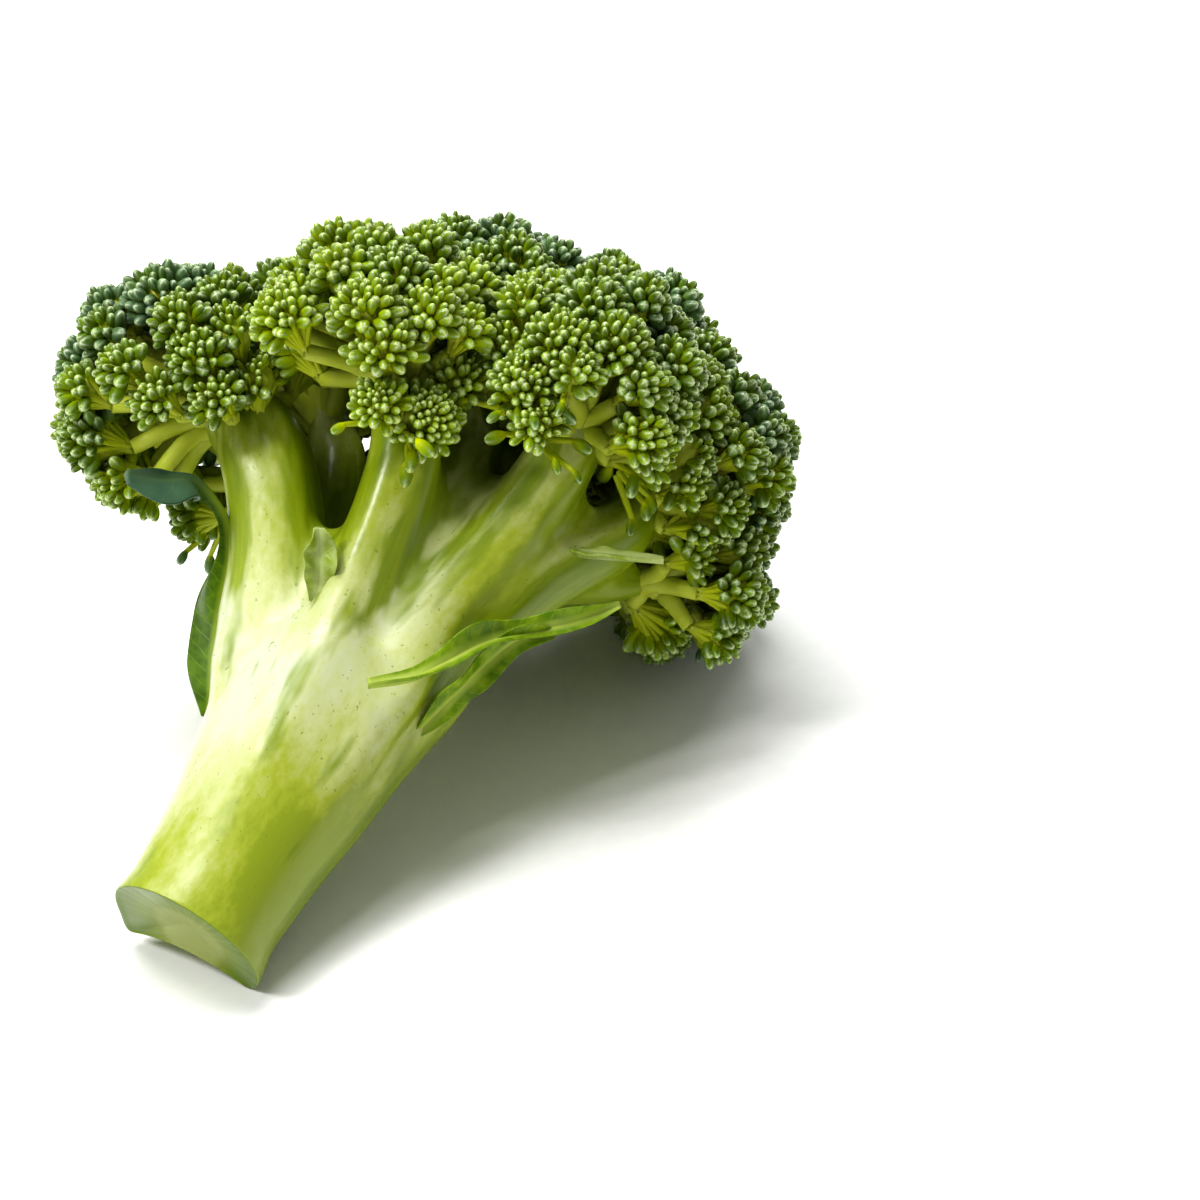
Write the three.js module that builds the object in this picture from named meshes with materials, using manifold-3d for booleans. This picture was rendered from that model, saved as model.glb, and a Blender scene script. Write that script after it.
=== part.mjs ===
// A broccoli head as cut: a stalk that forks into branches, a head of buds on each branch, and small leaves.
// It lies on its side, on the heel of the cut stem and on two of the florets. Millimetres, +Z up.

import * as THREE from "three";
import { ConvexGeometry } from "three/addons/geometries/ConvexGeometry.js";
import { mergeVertices } from "three/addons/utils/BufferGeometryUtils.js";
import Module from "manifold-3d";

const wasm = await Module();
wasm.setup();

// Driving dimensions. The plant is drawn upright: X to its right, -Y to its front, Z up from the cut.
const GAP = 0.3;
const SEED = 41;

const STEM = {
  cutWide: 14,
  cutDeep: 13,
  topRadius: 22,
  shoulderHeight: 62,
  height: 84,
  frontLean: 3,
  rightLean: 5,
  lip: 1.4,
  lipHeight: 7,
  groove: 0.5,
  grooveSpread: 0.75,
  grooveHeight: 40,
  dish: 2,
  ribs: 5,
  ribDepth: 0.03,
  midLeanShare: 0.75,
  topRound: 0.22,
  sides: 20,
  steps: 10,
};

const BRANCH = {
  start: 34,
  bend: 66,
  startShare: 0.2,
  bendShare: 0.42,
  bendReach: 16,
  radii: [0.25, 0.37, 0.33, 0.33, 0.36],
  depthInFloret: 0.6,
  sides: 9,
  steps: 8,
};

// Each floret: where its branch enters it, the middle of its dome, and the dome's radius.
const FLORETS = [
  { name: "floret_left", root: [-30, -6, 104], centre: [-52, -3, 113], radius: 26 },
  { name: "floret_front_left", root: [-6, -27, 107], centre: [-16, -36, 123], radius: 24 },
  { name: "floret_top", root: [8, -2, 128], centre: [3, -6, 152], radius: 27 },
  { name: "floret_front_right", root: [28, -25, 119], centre: [26, -34, 134], radius: 25 },
  { name: "floret_right", root: [45, -10, 118], centre: [51, -9, 144], radius: 25 },
  { name: "floret_low_right", root: [49, 3, 113], centre: [66, 3, 126], radius: 17 },
  { name: "floret_back_right", root: [42, 22, 122], centre: [56, 34, 148], radius: 23 },
  { name: "floret_back", root: [6, 30, 106], centre: [6, 45, 129], radius: 24 },
  { name: "floret_back_left", root: [-20, 14, 102], centre: [-37, 20, 120], radius: 21 },
  { name: "floret_top_right", root: [21, 5, 134], centre: [32, 3, 162], radius: 25 },
  { name: "floret_top_left", root: [-15, 14, 116], centre: [-31, 20, 147], radius: 22 },
  { name: "floret_top_back", root: [12, 20, 124], centre: [11, 29, 152], radius: 26 },
];

const BUD = {
  spacing: 11.4,
  height: 3,
  heightSpread: 0.35,
  jitter: 0.2,
  shoulderPlace: 0.6,
  shoulderHeight: 0.78,
  hiddenShare: 0.86,
  hiddenStep: 6,
};

const DOME = {
  body: 0.84,
  widen: 0.12,
  focusHeight: 82,
  underside: 0.75,
  lobes: 8,
  lobeRise: 0.15,
  lobeSharpness: 10,
};

// Each blade: points along its midrib, the way its face looks, and half its width along its length.
const LEAVES = [
  {
    name: "leaf_left",
    blades: [
      {
        midrib: [[-15, 1, 46], [-21, -1, 60], [-26, -4, 73], [-32, -11, 81], [-40, -17, 80], [-51, -21, 74]],
        faceStart: [-0.5, -1, 0],
        faceEnd: [-0.2, -1, 0.5],
        halfWidths: [1.5, 4.6, 4, 1.5, 1.3, 4.5, 4.6, 1],
        fold: 0.35,
        wave: 0.9,
      },
    ],
  },
  {
    name: "leaf_right",
    blades: [
      {
        midrib: [[22, -8, 56], [29, -13, 67], [36, -18, 77], [43, -22, 85], [51, -24, 93]],
        faceStart: [0.7, -1, -0.2],
        faceEnd: [0.2, -1, 0.5],
        halfWidths: [3, 4.5, 5, 6, 5.5, 3.5, 0.9],
        fold: 0.5,
        wave: 1,
      },
      {
        midrib: [[13, -24, 54], [20, -25, 61], [27, -23, 69], [36, -18, 77]],
        faceStart: [0, -1, 0.3],
        faceEnd: [0.2, -1, 0.3],
        halfWidths: [0.9, 3.2, 4, 3],
        fold: 0.3,
        wave: 0.8,
      },
    ],
  },
  {
    name: "bract_right",
    blades: [
      {
        midrib: [[34, -16, 100], [40, -23, 104], [47, -26, 105], [55, -27, 106]],
        faceStart: [0, -1, 0.4],
        faceEnd: [0, -1, 0.6],
        halfWidths: [2.2, 3, 2.2, 0.8],
        fold: 0.3,
        wave: 0.5,
      },
    ],
  },
  {
    name: "bract_fork",
    blades: [
      {
        midrib: [[-6, -18, 64], [-7, -23, 70], [-9, -26, 75], [-10, -29, 80]],
        faceStart: [-0.2, -1, 0],
        faceEnd: [-0.2, -1, 0.4],
        halfWidths: [1.5, 3.6, 4, 1.2],
        fold: 0.45,
        wave: 0.8,
      },
    ],
  },
];

const BLADE = { along: 11, across: 4, ripples: 2.2, thickness: 1.2, waveHalfWidth: 4 };

// How the head lies: the way the stem points, how far it rises, and the roll of the plant about its stem.
const LIE = { heading: 22.5, tilt: 25.2, roll: 23 };

const COLOURS = {
  stalk: "#c3cd8e",
  florets: "#5b7322",
  leaves: "#5f7f2a",
  bracts: "#a9bb62",
};

function vector(values) {
  return new THREE.Vector3(values[0], values[1], values[2]);
}

function seededRandom(seed) {
  let state = seed;
  return function next() {
    state = (state + 0x6d2b79f5) | 0;
    let mixed = Math.imul(state ^ (state >>> 15), 1 | state);
    mixed = (mixed + Math.imul(mixed ^ (mixed >>> 7), 61 | mixed)) ^ mixed;
    return ((mixed ^ (mixed >>> 14)) >>> 0) / 4294967296;
  };
}

function valueAlong(values, share) {
  const place = THREE.MathUtils.clamp(share, 0, 1) * (values.length - 1);
  const index = Math.min(Math.floor(place), values.length - 2);
  return THREE.MathUtils.lerp(values[index], values[index + 1], place - index);
}

function toSolid(geometry) {
  const bare = geometry.clone();
  bare.deleteAttribute("normal");
  bare.deleteAttribute("uv");
  const merged = mergeVertices(bare, 1e-4);
  const mesh = new wasm.Mesh({
    numProp: 3,
    vertProperties: new Float32Array(merged.attributes.position.array),
    triVerts: new Uint32Array(merged.index.array),
  });
  return new wasm.Manifold(mesh);
}

function toGeometry(solid) {
  const mesh = solid.getMesh();
  const geometry = new THREE.BufferGeometry();
  geometry.setAttribute("position", new THREE.BufferAttribute(new Float32Array(mesh.vertProperties), 3));
  geometry.setIndex(new THREE.BufferAttribute(new Uint32Array(mesh.triVerts), 1));
  return geometry;
}

function largestPiece(solid) {
  const pieces = solid.decompose();
  return pieces.reduce((best, piece) => (piece.volume() > best.volume() ? piece : best));
}

// A closed tube: a cylinder bent along a curve, with its radius given by a function of place and angle.
function bentTube(curve, mesh, radiusAt, dish) {
  const geometry = new THREE.CylinderGeometry(1, 1, 1, mesh.sides, mesh.steps);
  const position = geometry.attributes.position;
  const point = new THREE.Vector3();
  for (let index = 0; index < position.count; index += 1) {
    point.fromBufferAttribute(position, index);
    const share = point.y + 0.5;
    const spread = Math.hypot(point.x, point.z);
    const angle = Math.atan2(point.z, point.x);
    const tangent = curve.getTangent(share);
    const across = new THREE.Vector3(1, 0, 0).addScaledVector(tangent, -tangent.x).normalize();
    const front = new THREE.Vector3().crossVectors(across, tangent);
    const radius = spread * radiusAt(share, angle);
    const sunk = share < 0.5 ? dish * (1 - spread) : 0;
    const place = curve.getPoint(share);
    place.addScaledVector(across, radius * Math.cos(angle));
    place.addScaledVector(front, radius * Math.sin(angle));
    place.addScaledVector(tangent, sunk);
    position.setXYZ(index, place.x, place.y, place.z);
  }
  return geometry;
}

// The stem's section: an oval that grows up to the fork, with a lip at the cut and a groove along its back.
function stemRadius(share, angle) {
  const height = share * STEM.height;
  const grown = Math.min(height / STEM.shoulderHeight, 1);
  const wide = THREE.MathUtils.lerp(STEM.cutWide, STEM.topRadius, grown);
  const deep = THREE.MathUtils.lerp(STEM.cutDeep, STEM.topRadius, grown);
  const oval = (wide * deep) / Math.hypot(deep * Math.cos(angle), wide * Math.sin(angle));
  const lip = STEM.lip * Math.max(0, 1 - height / STEM.lipHeight) ** 2;
  const fromBack = Math.atan2(Math.sin(angle + Math.PI / 2), Math.cos(angle + Math.PI / 2));
  const groovePart = Math.max(0, 1 - height / STEM.grooveHeight);
  const groove = STEM.groove * groovePart * Math.exp(-((fromBack / STEM.grooveSpread) ** 2));
  const ribs = 1 + STEM.ribDepth * Math.cos(STEM.ribs * angle);
  const past = Math.max(0, height - STEM.shoulderHeight) / (STEM.height - STEM.shoulderHeight);
  const topRound = Math.max(STEM.topRound, Math.sqrt(Math.max(0, 1 - past * past)));
  return (oval * ribs * topRound + lip) * (1 - groove);
}

function branchCurve(floret) {
  const root = vector(floret.root);
  const centre = vector(floret.centre);
  const outward = new THREE.Vector3(root.x - STEM.rightLean, root.y, 0);
  const bendShare = Math.min(BRANCH.bendShare, BRANCH.bendReach / outward.length());
  const low = new THREE.Vector3(STEM.rightLean, 0, BRANCH.start).addScaledVector(outward, BRANCH.startShare);
  const bend = new THREE.Vector3(STEM.rightLean, 0, BRANCH.bend).addScaledVector(outward, bendShare);
  const points = [low, bend, root, root.clone().lerp(centre, BRANCH.depthInFloret)];
  return new THREE.CatmullRomCurve3(points, false, "centripetal");
}

// Stem and branches as one solid. The clearance makes it larger, to cut what stands around it.
function stalkSolid(clearance) {
  const stemPath = new THREE.CatmullRomCurve3([
    new THREE.Vector3(0, -STEM.frontLean, -clearance),
    new THREE.Vector3(STEM.rightLean * STEM.midLeanShare, -STEM.frontLean / 2, STEM.height / 2),
    new THREE.Vector3(STEM.rightLean, 0, STEM.height + clearance),
  ]);
  const stem = bentTube(stemPath, STEM, (share, angle) => stemRadius(share, angle) + clearance, STEM.dish);
  const branches = FLORETS.map((floret) => {
    const radiusAt = (share) => valueAlong(BRANCH.radii, share) * floret.radius + clearance;
    return toSolid(bentTube(branchCurve(floret), BRANCH, radiusAt, 0));
  });
  return branches.reduce((whole, branch) => whole.add(branch), toSolid(stem));
}

// Turning the upright plant into the way it lies.
function lieTurn() {
  const turn = new THREE.Matrix4().makeRotationZ(-THREE.MathUtils.degToRad(LIE.heading));
  turn.multiply(new THREE.Matrix4().makeRotationX(-THREE.MathUtils.degToRad(90 - LIE.tilt)));
  turn.multiply(new THREE.Matrix4().makeRotationZ(THREE.MathUtils.degToRad(LIE.roll)));
  return turn;
}

// Planes a floret stays behind: its underside, the floor, and one half-way to each neighbour.
function limitsOf(floret, axis, floor) {
  const centre = vector(floret.centre);
  const limits = [
    { normal: axis.clone().negate(), reach: floret.radius * DOME.underside },
    { normal: floor.up.clone().negate(), reach: floor.up.dot(centre) - floor.level },
  ];
  for (const other of FLORETS.filter((candidate) => candidate !== floret)) {
    const toOther = vector(other.centre).sub(centre);
    const distance = toOther.length();
    const share = distance ** 2 + floret.radius ** 2 - other.radius ** 2;
    limits.push({ normal: toOther.normalize(), reach: share / (2 * distance) - GAP / 2 });
  }
  return limits;
}

function limitAlong(direction, limits) {
  const reaches = limits.map((limit) => {
    const facing = limit.normal.dot(direction);
    return facing > 1e-3 ? limit.reach / facing : Infinity;
  });
  return Math.min(...reaches);
}

// Directions spread evenly over a ball, each moved a little by the seeded rule.
function spreadDirections(count, random) {
  const goldenAngle = Math.PI * (3 - Math.sqrt(5));
  const jitter = BUD.jitter * Math.sqrt((4 * Math.PI) / count);
  return Array.from({ length: count }, (_, index) => {
    const level = 1 - (2 * index + 1) / count;
    const ring = Math.sqrt(1 - level * level);
    const angle = goldenAngle * index;
    const direction = new THREE.Vector3(ring * Math.cos(angle), ring * Math.sin(angle), level);
    const shift = new THREE.Vector3(random() - 0.5, random() - 0.5, random() - 0.5);
    return direction.addScaledVector(shift, 2 * jitter).normalize();
  });
}

// Triangles that join neighbouring directions on the ball, as triples of indices.
function joinDirections(directions) {
  const hull = new ConvexGeometry(directions.map((direction) => direction.clone()));
  const position = hull.attributes.position;
  const corners = [];
  const point = new THREE.Vector3();
  for (let index = 0; index < position.count; index += 1) {
    point.fromBufferAttribute(position, index);
    let nearest = 0;
    for (let seed = 1; seed < directions.length; seed += 1) {
      if (directions[seed].distanceToSquared(point) < directions[nearest].distanceToSquared(point)) {
        nearest = seed;
      }
    }
    corners.push(nearest);
  }
  const triangles = [];
  for (let index = 0; index < corners.length; index += 3) {
    triangles.push(corners.slice(index, index + 3));
  }
  return triangles;
}

// A floret: a lobed dome whose surface is raised into a bud at every seed direction.
function floretGeometry(floret, order, floor) {
  const random = seededRandom(SEED + order);
  const centre = vector(floret.centre);
  const axis = centre.clone().sub(new THREE.Vector3(0, 0, DOME.focusHeight)).normalize();
  const limits = limitsOf(floret, axis, floor);
  const lobes = spreadDirections(2 * DOME.lobes, random);
  const bodyRadius = (direction) => {
    const rises = lobes.map((lobe) => Math.max(0, lobe.dot(direction)) ** DOME.lobeSharpness);
    const lobed = DOME.lobeRise * rises.reduce((sum, rise) => sum + rise, 0);
    const widened = DOME.widen * (1 - direction.dot(axis) ** 2);
    return floret.radius * (DOME.body + lobed + widened);
  };
  const isHidden = (direction) => limitAlong(direction, limits) < BUD.hiddenShare * bodyRadius(direction);

  const cell = (Math.sqrt(3) / 2) * BUD.spacing ** 2;
  const count = Math.round((4 * Math.PI * floret.radius ** 2) / cell);
  const down = floor.up.clone().negate();
  const touches = limits[1].reach < bodyRadius(down) + BUD.height;
  let hiddenCount = 0;
  const seeds = spreadDirections(count, random).filter((direction) => {
    if (touches && direction.angleTo(down) < BUD.spacing / floret.radius / 2) {
      return false;
    }
    hiddenCount += isHidden(direction) ? 1 : 0;
    return !isHidden(direction) || hiddenCount % BUD.hiddenStep === 0;
  });
  if (touches) {
    seeds.push(down);
  }
  const heights = seeds.map(() => BUD.height * (1 - BUD.heightSpread * random()));

  const positions = [];
  const pushPoint = (direction, rise) => {
    const radius = Math.min(bodyRadius(direction) + rise, limitAlong(direction, limits));
    const place = centre.clone().addScaledVector(direction, radius);
    positions.push(place.x, place.y, place.z);
    return positions.length / 3 - 1;
  };
  const peaks = seeds.map((direction, seed) => pushPoint(direction, heights[seed]));
  const triangles = joinDirections(seeds);
  const valleyDirections = triangles.map((corners) => {
    const middle = new THREE.Vector3();
    corners.forEach((seed) => middle.add(seeds[seed]));
    return middle.normalize();
  });
  const valleys = valleyDirections.map((direction) => pushPoint(direction, 0));
  const shoulders = triangles.map((corners, triangle) => corners.map((seed) => {
    const direction = seeds[seed].clone().lerp(valleyDirections[triangle], BUD.shoulderPlace).normalize();
    return pushPoint(direction, heights[seed] * BUD.shoulderHeight);
  }));

  const edgeOwner = new Map();
  triangles.forEach((corners, triangle) => {
    corners.forEach((seed, place) => edgeOwner.set(`${seed}>${corners[(place + 1) % 3]}`, triangle));
  });
  const indices = [];
  triangles.forEach((corners, triangle) => {
    corners.forEach((seed, place) => {
      const next = corners[(place + 1) % 3];
      const twin = edgeOwner.get(`${next}>${seed}`);
      const here = shoulders[triangle][place];
      const there = shoulders[twin][triangles[twin].indexOf(seed)];
      indices.push(peaks[seed], there, here);
      indices.push(there, valleys[twin], valleys[triangle]);
      indices.push(there, valleys[triangle], here);
    });
  });
  const geometry = new THREE.BufferGeometry();
  geometry.setAttribute("position", new THREE.Float32BufferAttribute(positions, 3));
  geometry.setIndex(indices);
  return geometry;
}

// A leaf blade: one sheet of points along and across its midrib, doubled to give it a thickness.
function bladeGeometry(blade) {
  const curve = new THREE.CatmullRomCurve3(blade.midrib.map(vector), false, "centripetal");
  const { along, across } = BLADE;
  const sheets = [1, -1].map((side) => {
    const points = [];
    for (let row = 0; row <= along; row += 1) {
      const share = row / along;
      const tangent = curve.getTangent(share);
      const look = vector(blade.faceStart).lerp(vector(blade.faceEnd), share).normalize();
      const sideways = new THREE.Vector3().crossVectors(tangent, look).normalize();
      const face = new THREE.Vector3().crossVectors(sideways, tangent);
      const half = valueAlong(blade.halfWidths, share);
      for (let column = 0; column <= across; column += 1) {
        const place = (2 * column) / across - 1;
        const ripple = blade.wave * place * Math.sin(share * BLADE.ripples * 2 * Math.PI + place);
        const lift = blade.fold * Math.abs(place) * half + (ripple * half) / BLADE.waveHalfWidth;
        const point = curve.getPoint(share).addScaledVector(sideways, place * half);
        points.push(point.addScaledVector(face, lift + (side * BLADE.thickness) / 2));
      }
    }
    return points;
  });
  const rowLength = across + 1;
  const sheetLength = (along + 1) * rowLength;
  const indices = [];
  const quad = (a, b, c, d) => indices.push(a, b, c, a, c, d);
  for (let row = 0; row < along; row += 1) {
    for (let column = 0; column < across; column += 1) {
      const a = row * rowLength + column;
      quad(a, a + 1, a + rowLength + 1, a + rowLength);
      const under = a + sheetLength;
      indices.push(under, under + rowLength + 1, under + 1);
      indices.push(under, under + rowLength, under + rowLength + 1);
    }
  }
  for (let row = 0; row < along; row += 1) {
    const first = row * rowLength;
    const last = first + across;
    quad(first, first + rowLength, first + rowLength + sheetLength, first + sheetLength);
    quad(last + rowLength, last, last + sheetLength, last + rowLength + sheetLength);
  }
  for (let column = 0; column < across; column += 1) {
    const end = along * rowLength + column;
    quad(column + 1, column, column + sheetLength, column + 1 + sheetLength);
    quad(end, end + 1, end + 1 + sheetLength, end + sheetLength);
  }
  const geometry = new THREE.BufferGeometry();
  geometry.setAttribute("position", new THREE.Float32BufferAttribute(
    sheets.flat().flatMap((point) => point.toArray()),
    3,
  ));
  geometry.setIndex(indices);
  return geometry;
}

// The stalk first, since the floor is where its heel touches
const turn = lieTurn();
const stalk = stalkSolid(0);
const aroundStalk = stalkSolid(GAP);
const up = new THREE.Vector3(0, 0, 1).applyMatrix4(turn.clone().invert());
const stalkGeometry = toGeometry(stalk);
const laidStalk = stalkGeometry.clone().applyMatrix4(turn);
laidStalk.computeBoundingBox();
const floor = { up, level: laidStalk.boundingBox.min.z };

const pieces = [{ name: "stalk", geometry: stalkGeometry, colour: COLOURS.stalk }];
FLORETS.forEach((floret, order) => {
  const solid = largestPiece(toSolid(floretGeometry(floret, order, floor)).subtract(aroundStalk));
  pieces.push({ name: floret.name, geometry: toGeometry(solid), colour: COLOURS.florets });
});
LEAVES.forEach((leaf) => {
  const whole = leaf.blades.map((blade) => toSolid(bladeGeometry(blade)));
  const joined = whole.reduce((sum, blade) => sum.add(blade));
  const solid = largestPiece(joined.subtract(aroundStalk));
  const colour = leaf.name.startsWith("leaf") ? COLOURS.leaves : COLOURS.bracts;
  pieces.push({ name: leaf.name, geometry: toGeometry(solid), colour });
});

// Lay the plant down and put the middle of its footprint at the origin, on the floor
const laid = new THREE.Box3();
pieces.forEach((piece) => {
  piece.geometry.applyMatrix4(turn);
  laid.union(new THREE.Box3().setFromBufferAttribute(piece.geometry.attributes.position));
});
const group = new THREE.Group();
group.name = "broccoli_head";
pieces.forEach((piece) => {
  piece.geometry.translate(-(laid.min.x + laid.max.x) / 2, -(laid.min.y + laid.max.y) / 2, -floor.level);
  piece.geometry.computeVertexNormals();
  const material = new THREE.MeshStandardMaterial({ color: piece.colour, roughness: 0.6, metalness: 0 });
  const mesh = new THREE.Mesh(piece.geometry, material);
  mesh.name = piece.name;
  group.add(mesh);
});

export default group;
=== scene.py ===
# %% [markdown]
# # A broccoli head, dressed for the camera
# The solid model already has the right sizes and places: a stalk, a floret head on each branch, and small
# leaves. It is plain, so in this lesson each solid is replaced by a finished piece that stands in the same
# place. The pieces are made in code from a few sizes in millimetres, so a change of one number moves all
# that hangs on it.

# %% Load the solid model
import math

import bmesh
import bpy
import numpy as np
from mathutils import Matrix, Vector
from mathutils.bvhtree import BVHTree


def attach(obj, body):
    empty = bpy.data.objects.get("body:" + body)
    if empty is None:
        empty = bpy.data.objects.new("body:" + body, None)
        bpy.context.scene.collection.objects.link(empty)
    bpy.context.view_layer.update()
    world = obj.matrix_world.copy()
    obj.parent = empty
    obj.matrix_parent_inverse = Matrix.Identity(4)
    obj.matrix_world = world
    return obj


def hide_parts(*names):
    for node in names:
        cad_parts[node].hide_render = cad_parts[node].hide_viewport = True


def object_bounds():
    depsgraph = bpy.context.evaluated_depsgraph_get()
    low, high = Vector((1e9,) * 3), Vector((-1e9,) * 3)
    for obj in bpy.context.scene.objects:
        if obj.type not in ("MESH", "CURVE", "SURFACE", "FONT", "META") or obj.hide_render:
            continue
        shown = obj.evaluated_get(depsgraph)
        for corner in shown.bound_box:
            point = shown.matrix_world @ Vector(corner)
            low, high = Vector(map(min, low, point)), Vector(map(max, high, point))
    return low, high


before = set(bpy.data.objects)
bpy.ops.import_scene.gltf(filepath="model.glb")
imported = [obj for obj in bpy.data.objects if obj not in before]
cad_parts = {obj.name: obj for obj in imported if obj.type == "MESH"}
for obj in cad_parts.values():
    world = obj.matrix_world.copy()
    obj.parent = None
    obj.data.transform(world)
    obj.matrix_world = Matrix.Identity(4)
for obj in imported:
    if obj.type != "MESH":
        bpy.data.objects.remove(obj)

SOLID_LOW, SOLID_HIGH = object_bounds()
print("solid model, mm:", [round(1000 * side) for side in SOLID_HIGH - SOLID_LOW])

# %% [markdown]
# ## The plant's own upright frame
# A lying plant is awkward to describe, so every shape here is drawn on the upright plant, in millimetres: X
# to its right, -Y to its front, Z up the stem from the cut. One turn and one shift then lay it down. The
# turn is the same three angles as in the solid model. Smooth curves through a few points are needed again
# and again, so the helpers for them come here.

# %% Turn between the upright plant and the part's frame
MM = 0.001
HEADING, TILT, ROLL = 22.5, 25.2, 23

TURN = np.array(
    Matrix.Rotation(math.radians(-HEADING), 3, "Z")
    @ Matrix.Rotation(math.radians(TILT - 90), 3, "X")
    @ Matrix.Rotation(math.radians(ROLL), 3, "Z")
)
UP = TURN.T @ np.array([0, 0, 1])


def unit(vectors):
    return vectors / np.linalg.norm(vectors, axis=-1, keepdims=True)


def smooth_step(low, high, values):
    share = np.clip((values - low) / (high - low), 0, 1)
    return share * share * (3 - 2 * share)


def path_points(points, shares):
    """Points on the smooth curve through a few points, at shares from 0 to 1 of its stretches."""
    points = np.array(points, float)
    ends = [2 * points[0] - points[1], *points, 2 * points[-1] - points[-2]]
    stretches = len(points) - 1
    made = []
    for share in np.atleast_1d(shares):
        stretch = min(int(share * stretches), stretches - 1)
        weight = share * stretches - stretch
        before, start, end, after = ends[stretch:stretch + 4]
        pairs = ((before, start), (start, end), (end, after))
        gap_in, gap, gap_out = [np.linalg.norm(b - a) ** 0.5 for a, b in pairs]
        leave = (start - before) / gap_in - (end - before) / (gap_in + gap) + (end - start) / gap
        arrive = (end - start) / gap - (after - start) / (gap + gap_out) + (after - end) / gap_out
        leave, arrive = leave * gap, arrive * gap
        bend = -3 * start + 3 * end - 2 * leave - arrive
        twist = 2 * start - 2 * end + leave + arrive
        made.append(start + weight * (leave + weight * (bend + weight * twist)))
    return np.array(made)


def path_tangents(points, shares):
    step = 1e-3
    low = np.clip(np.atleast_1d(shares) - step, 0, 1)
    high = np.clip(np.atleast_1d(shares) + step, 0, 1)
    return unit(path_points(points, high) - path_points(points, low))


print("straight up on the upright plant:", UP.round(3))

# %% [markdown]
# ## The foot of the stem
# The shift is read from the solid stalk. It could be typed in, but then a new solid model would leave this
# one behind. The points lowest along the stem are the rim of its cut and one point inside the rim, the
# bottom of the dish. We know where that point is on the upright plant, and the difference is the shift.

# %% Find the foot of the stem in the part's frame
STEM_HEIGHT = 84
STEM_LEAN = 5
STEM_PATH = [(0, -3, 0), (0.75 * STEM_LEAN, -1.5, STEM_HEIGHT / 2), (STEM_LEAN, 0, STEM_HEIGHT)]
STEM_SIDES = 20
CUT_DISH = 2

CUT_MIDDLE = path_points(STEM_PATH, 0)[0]
CUT_AXIS = path_tangents(STEM_PATH, 0)[0]


def node_points(node):
    return np.array([vertex.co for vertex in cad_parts[node].data.vertices])


turned = np.unique((node_points("stalk") / MM @ TURN).round(3), axis=0)
rim = turned[np.argsort(turned @ CUT_AXIS)[:STEM_SIDES + 1]]
dish_bottom = rim[np.argmin(np.linalg.norm(rim - rim.mean(0), axis=1))]
SHIFT = dish_bottom - (CUT_MIDDLE + CUT_DISH * CUT_AXIS)


def to_frame(points):
    return (np.asarray(points) + SHIFT) @ TURN.T * MM


def to_plant(points):
    return np.asarray(points) / MM @ TURN - SHIFT


print("the foot of the stem is at, mm:", (to_frame(CUT_MIDDLE) / MM).round(1))

# %% [markdown]
# ## The camera
# The photograph looks slightly down on the lying head with a long lens, and the whole foot of the stem is
# in view. The camera is set first, because every later choice is judged through it. Its height angle and
# lens are chosen, and its place is worked out so that the middle of the cut lands on the same pixel as in
# the photograph.

# %% Place the camera
PHOTO_SIZE = 1200
CUT_PIXEL = (190, 932)
CAMERA_ELEVATION = 31
CAMERA_DISTANCE = 0.698
LENS_MM, SENSOR_MM = 108, 36

elevation = math.radians(CAMERA_ELEVATION)
forward = Vector((0, math.cos(elevation), -math.sin(elevation)))
upward = Vector((0, math.sin(elevation), math.cos(elevation)))
per_pixel = CAMERA_DISTANCE * SENSOR_MM / LENS_MM / PHOTO_SIZE
aside = (CUT_PIXEL[0] - PHOTO_SIZE / 2) * per_pixel
above = (PHOTO_SIZE / 2 - CUT_PIXEL[1]) * per_pixel

camera = bpy.data.objects.new("camera", bpy.data.cameras.new("camera"))
camera.data.lens = LENS_MM
camera.data.sensor_width = SENSOR_MM
camera.location = (
    Vector(to_frame(CUT_MIDDLE)) - forward * CAMERA_DISTANCE - Vector((1, 0, 0)) * aside - upward * above
)
camera.rotation_euler = (math.radians(90 - CAMERA_ELEVATION), 0, 0)
bpy.context.collection.objects.link(camera)
bpy.context.scene.camera = camera
print("camera at, mm:", [round(1000 * value) for value in camera.location])

# %% [markdown]
# ## Light
# The photograph was lit softly and almost from overhead, as in a studio with a white ceiling. A sun lamp
# with a very wide angle gives that: its light is even all over the floor, and its shadows have broad soft
# edges, where an area lamp would leave a bright pool. A small lamp from the left gives the glints on the
# buds and the wet stem, and a faint one from behind lifts the edge of the crown. A little white light from
# all round fills the shadows.

# %% Light the stage
LAMPS = {
    "soft_sky": {"kind": "SUN", "place": (-0.3, 0.3, 1.5), "strength": 2.3, "angle": math.radians(38)},
    "key_lamp": {"kind": "AREA", "place": (-0.7, -0.4, 0.9), "strength": 7, "size": 0.3},
    "back_lamp": {"kind": "AREA", "place": (0.3, 0.9, 0.7), "strength": 3, "size": 0.4},
}
HEAD_MIDDLE = (SOLID_LOW + SOLID_HIGH) / 2
FILL_STRENGTH = 0.3

for name, lamp in LAMPS.items():
    light = bpy.data.lights.new(name, lamp["kind"])
    light.energy = lamp["strength"]
    if lamp["kind"] == "SUN":
        light.angle = lamp["angle"]
    else:
        light.size = lamp["size"]
    holder = bpy.data.objects.new(name, light)
    holder.location = lamp["place"]
    holder.rotation_euler = (HEAD_MIDDLE - holder.location).to_track_quat("-Z", "Y").to_euler()
    bpy.context.collection.objects.link(holder)

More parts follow.
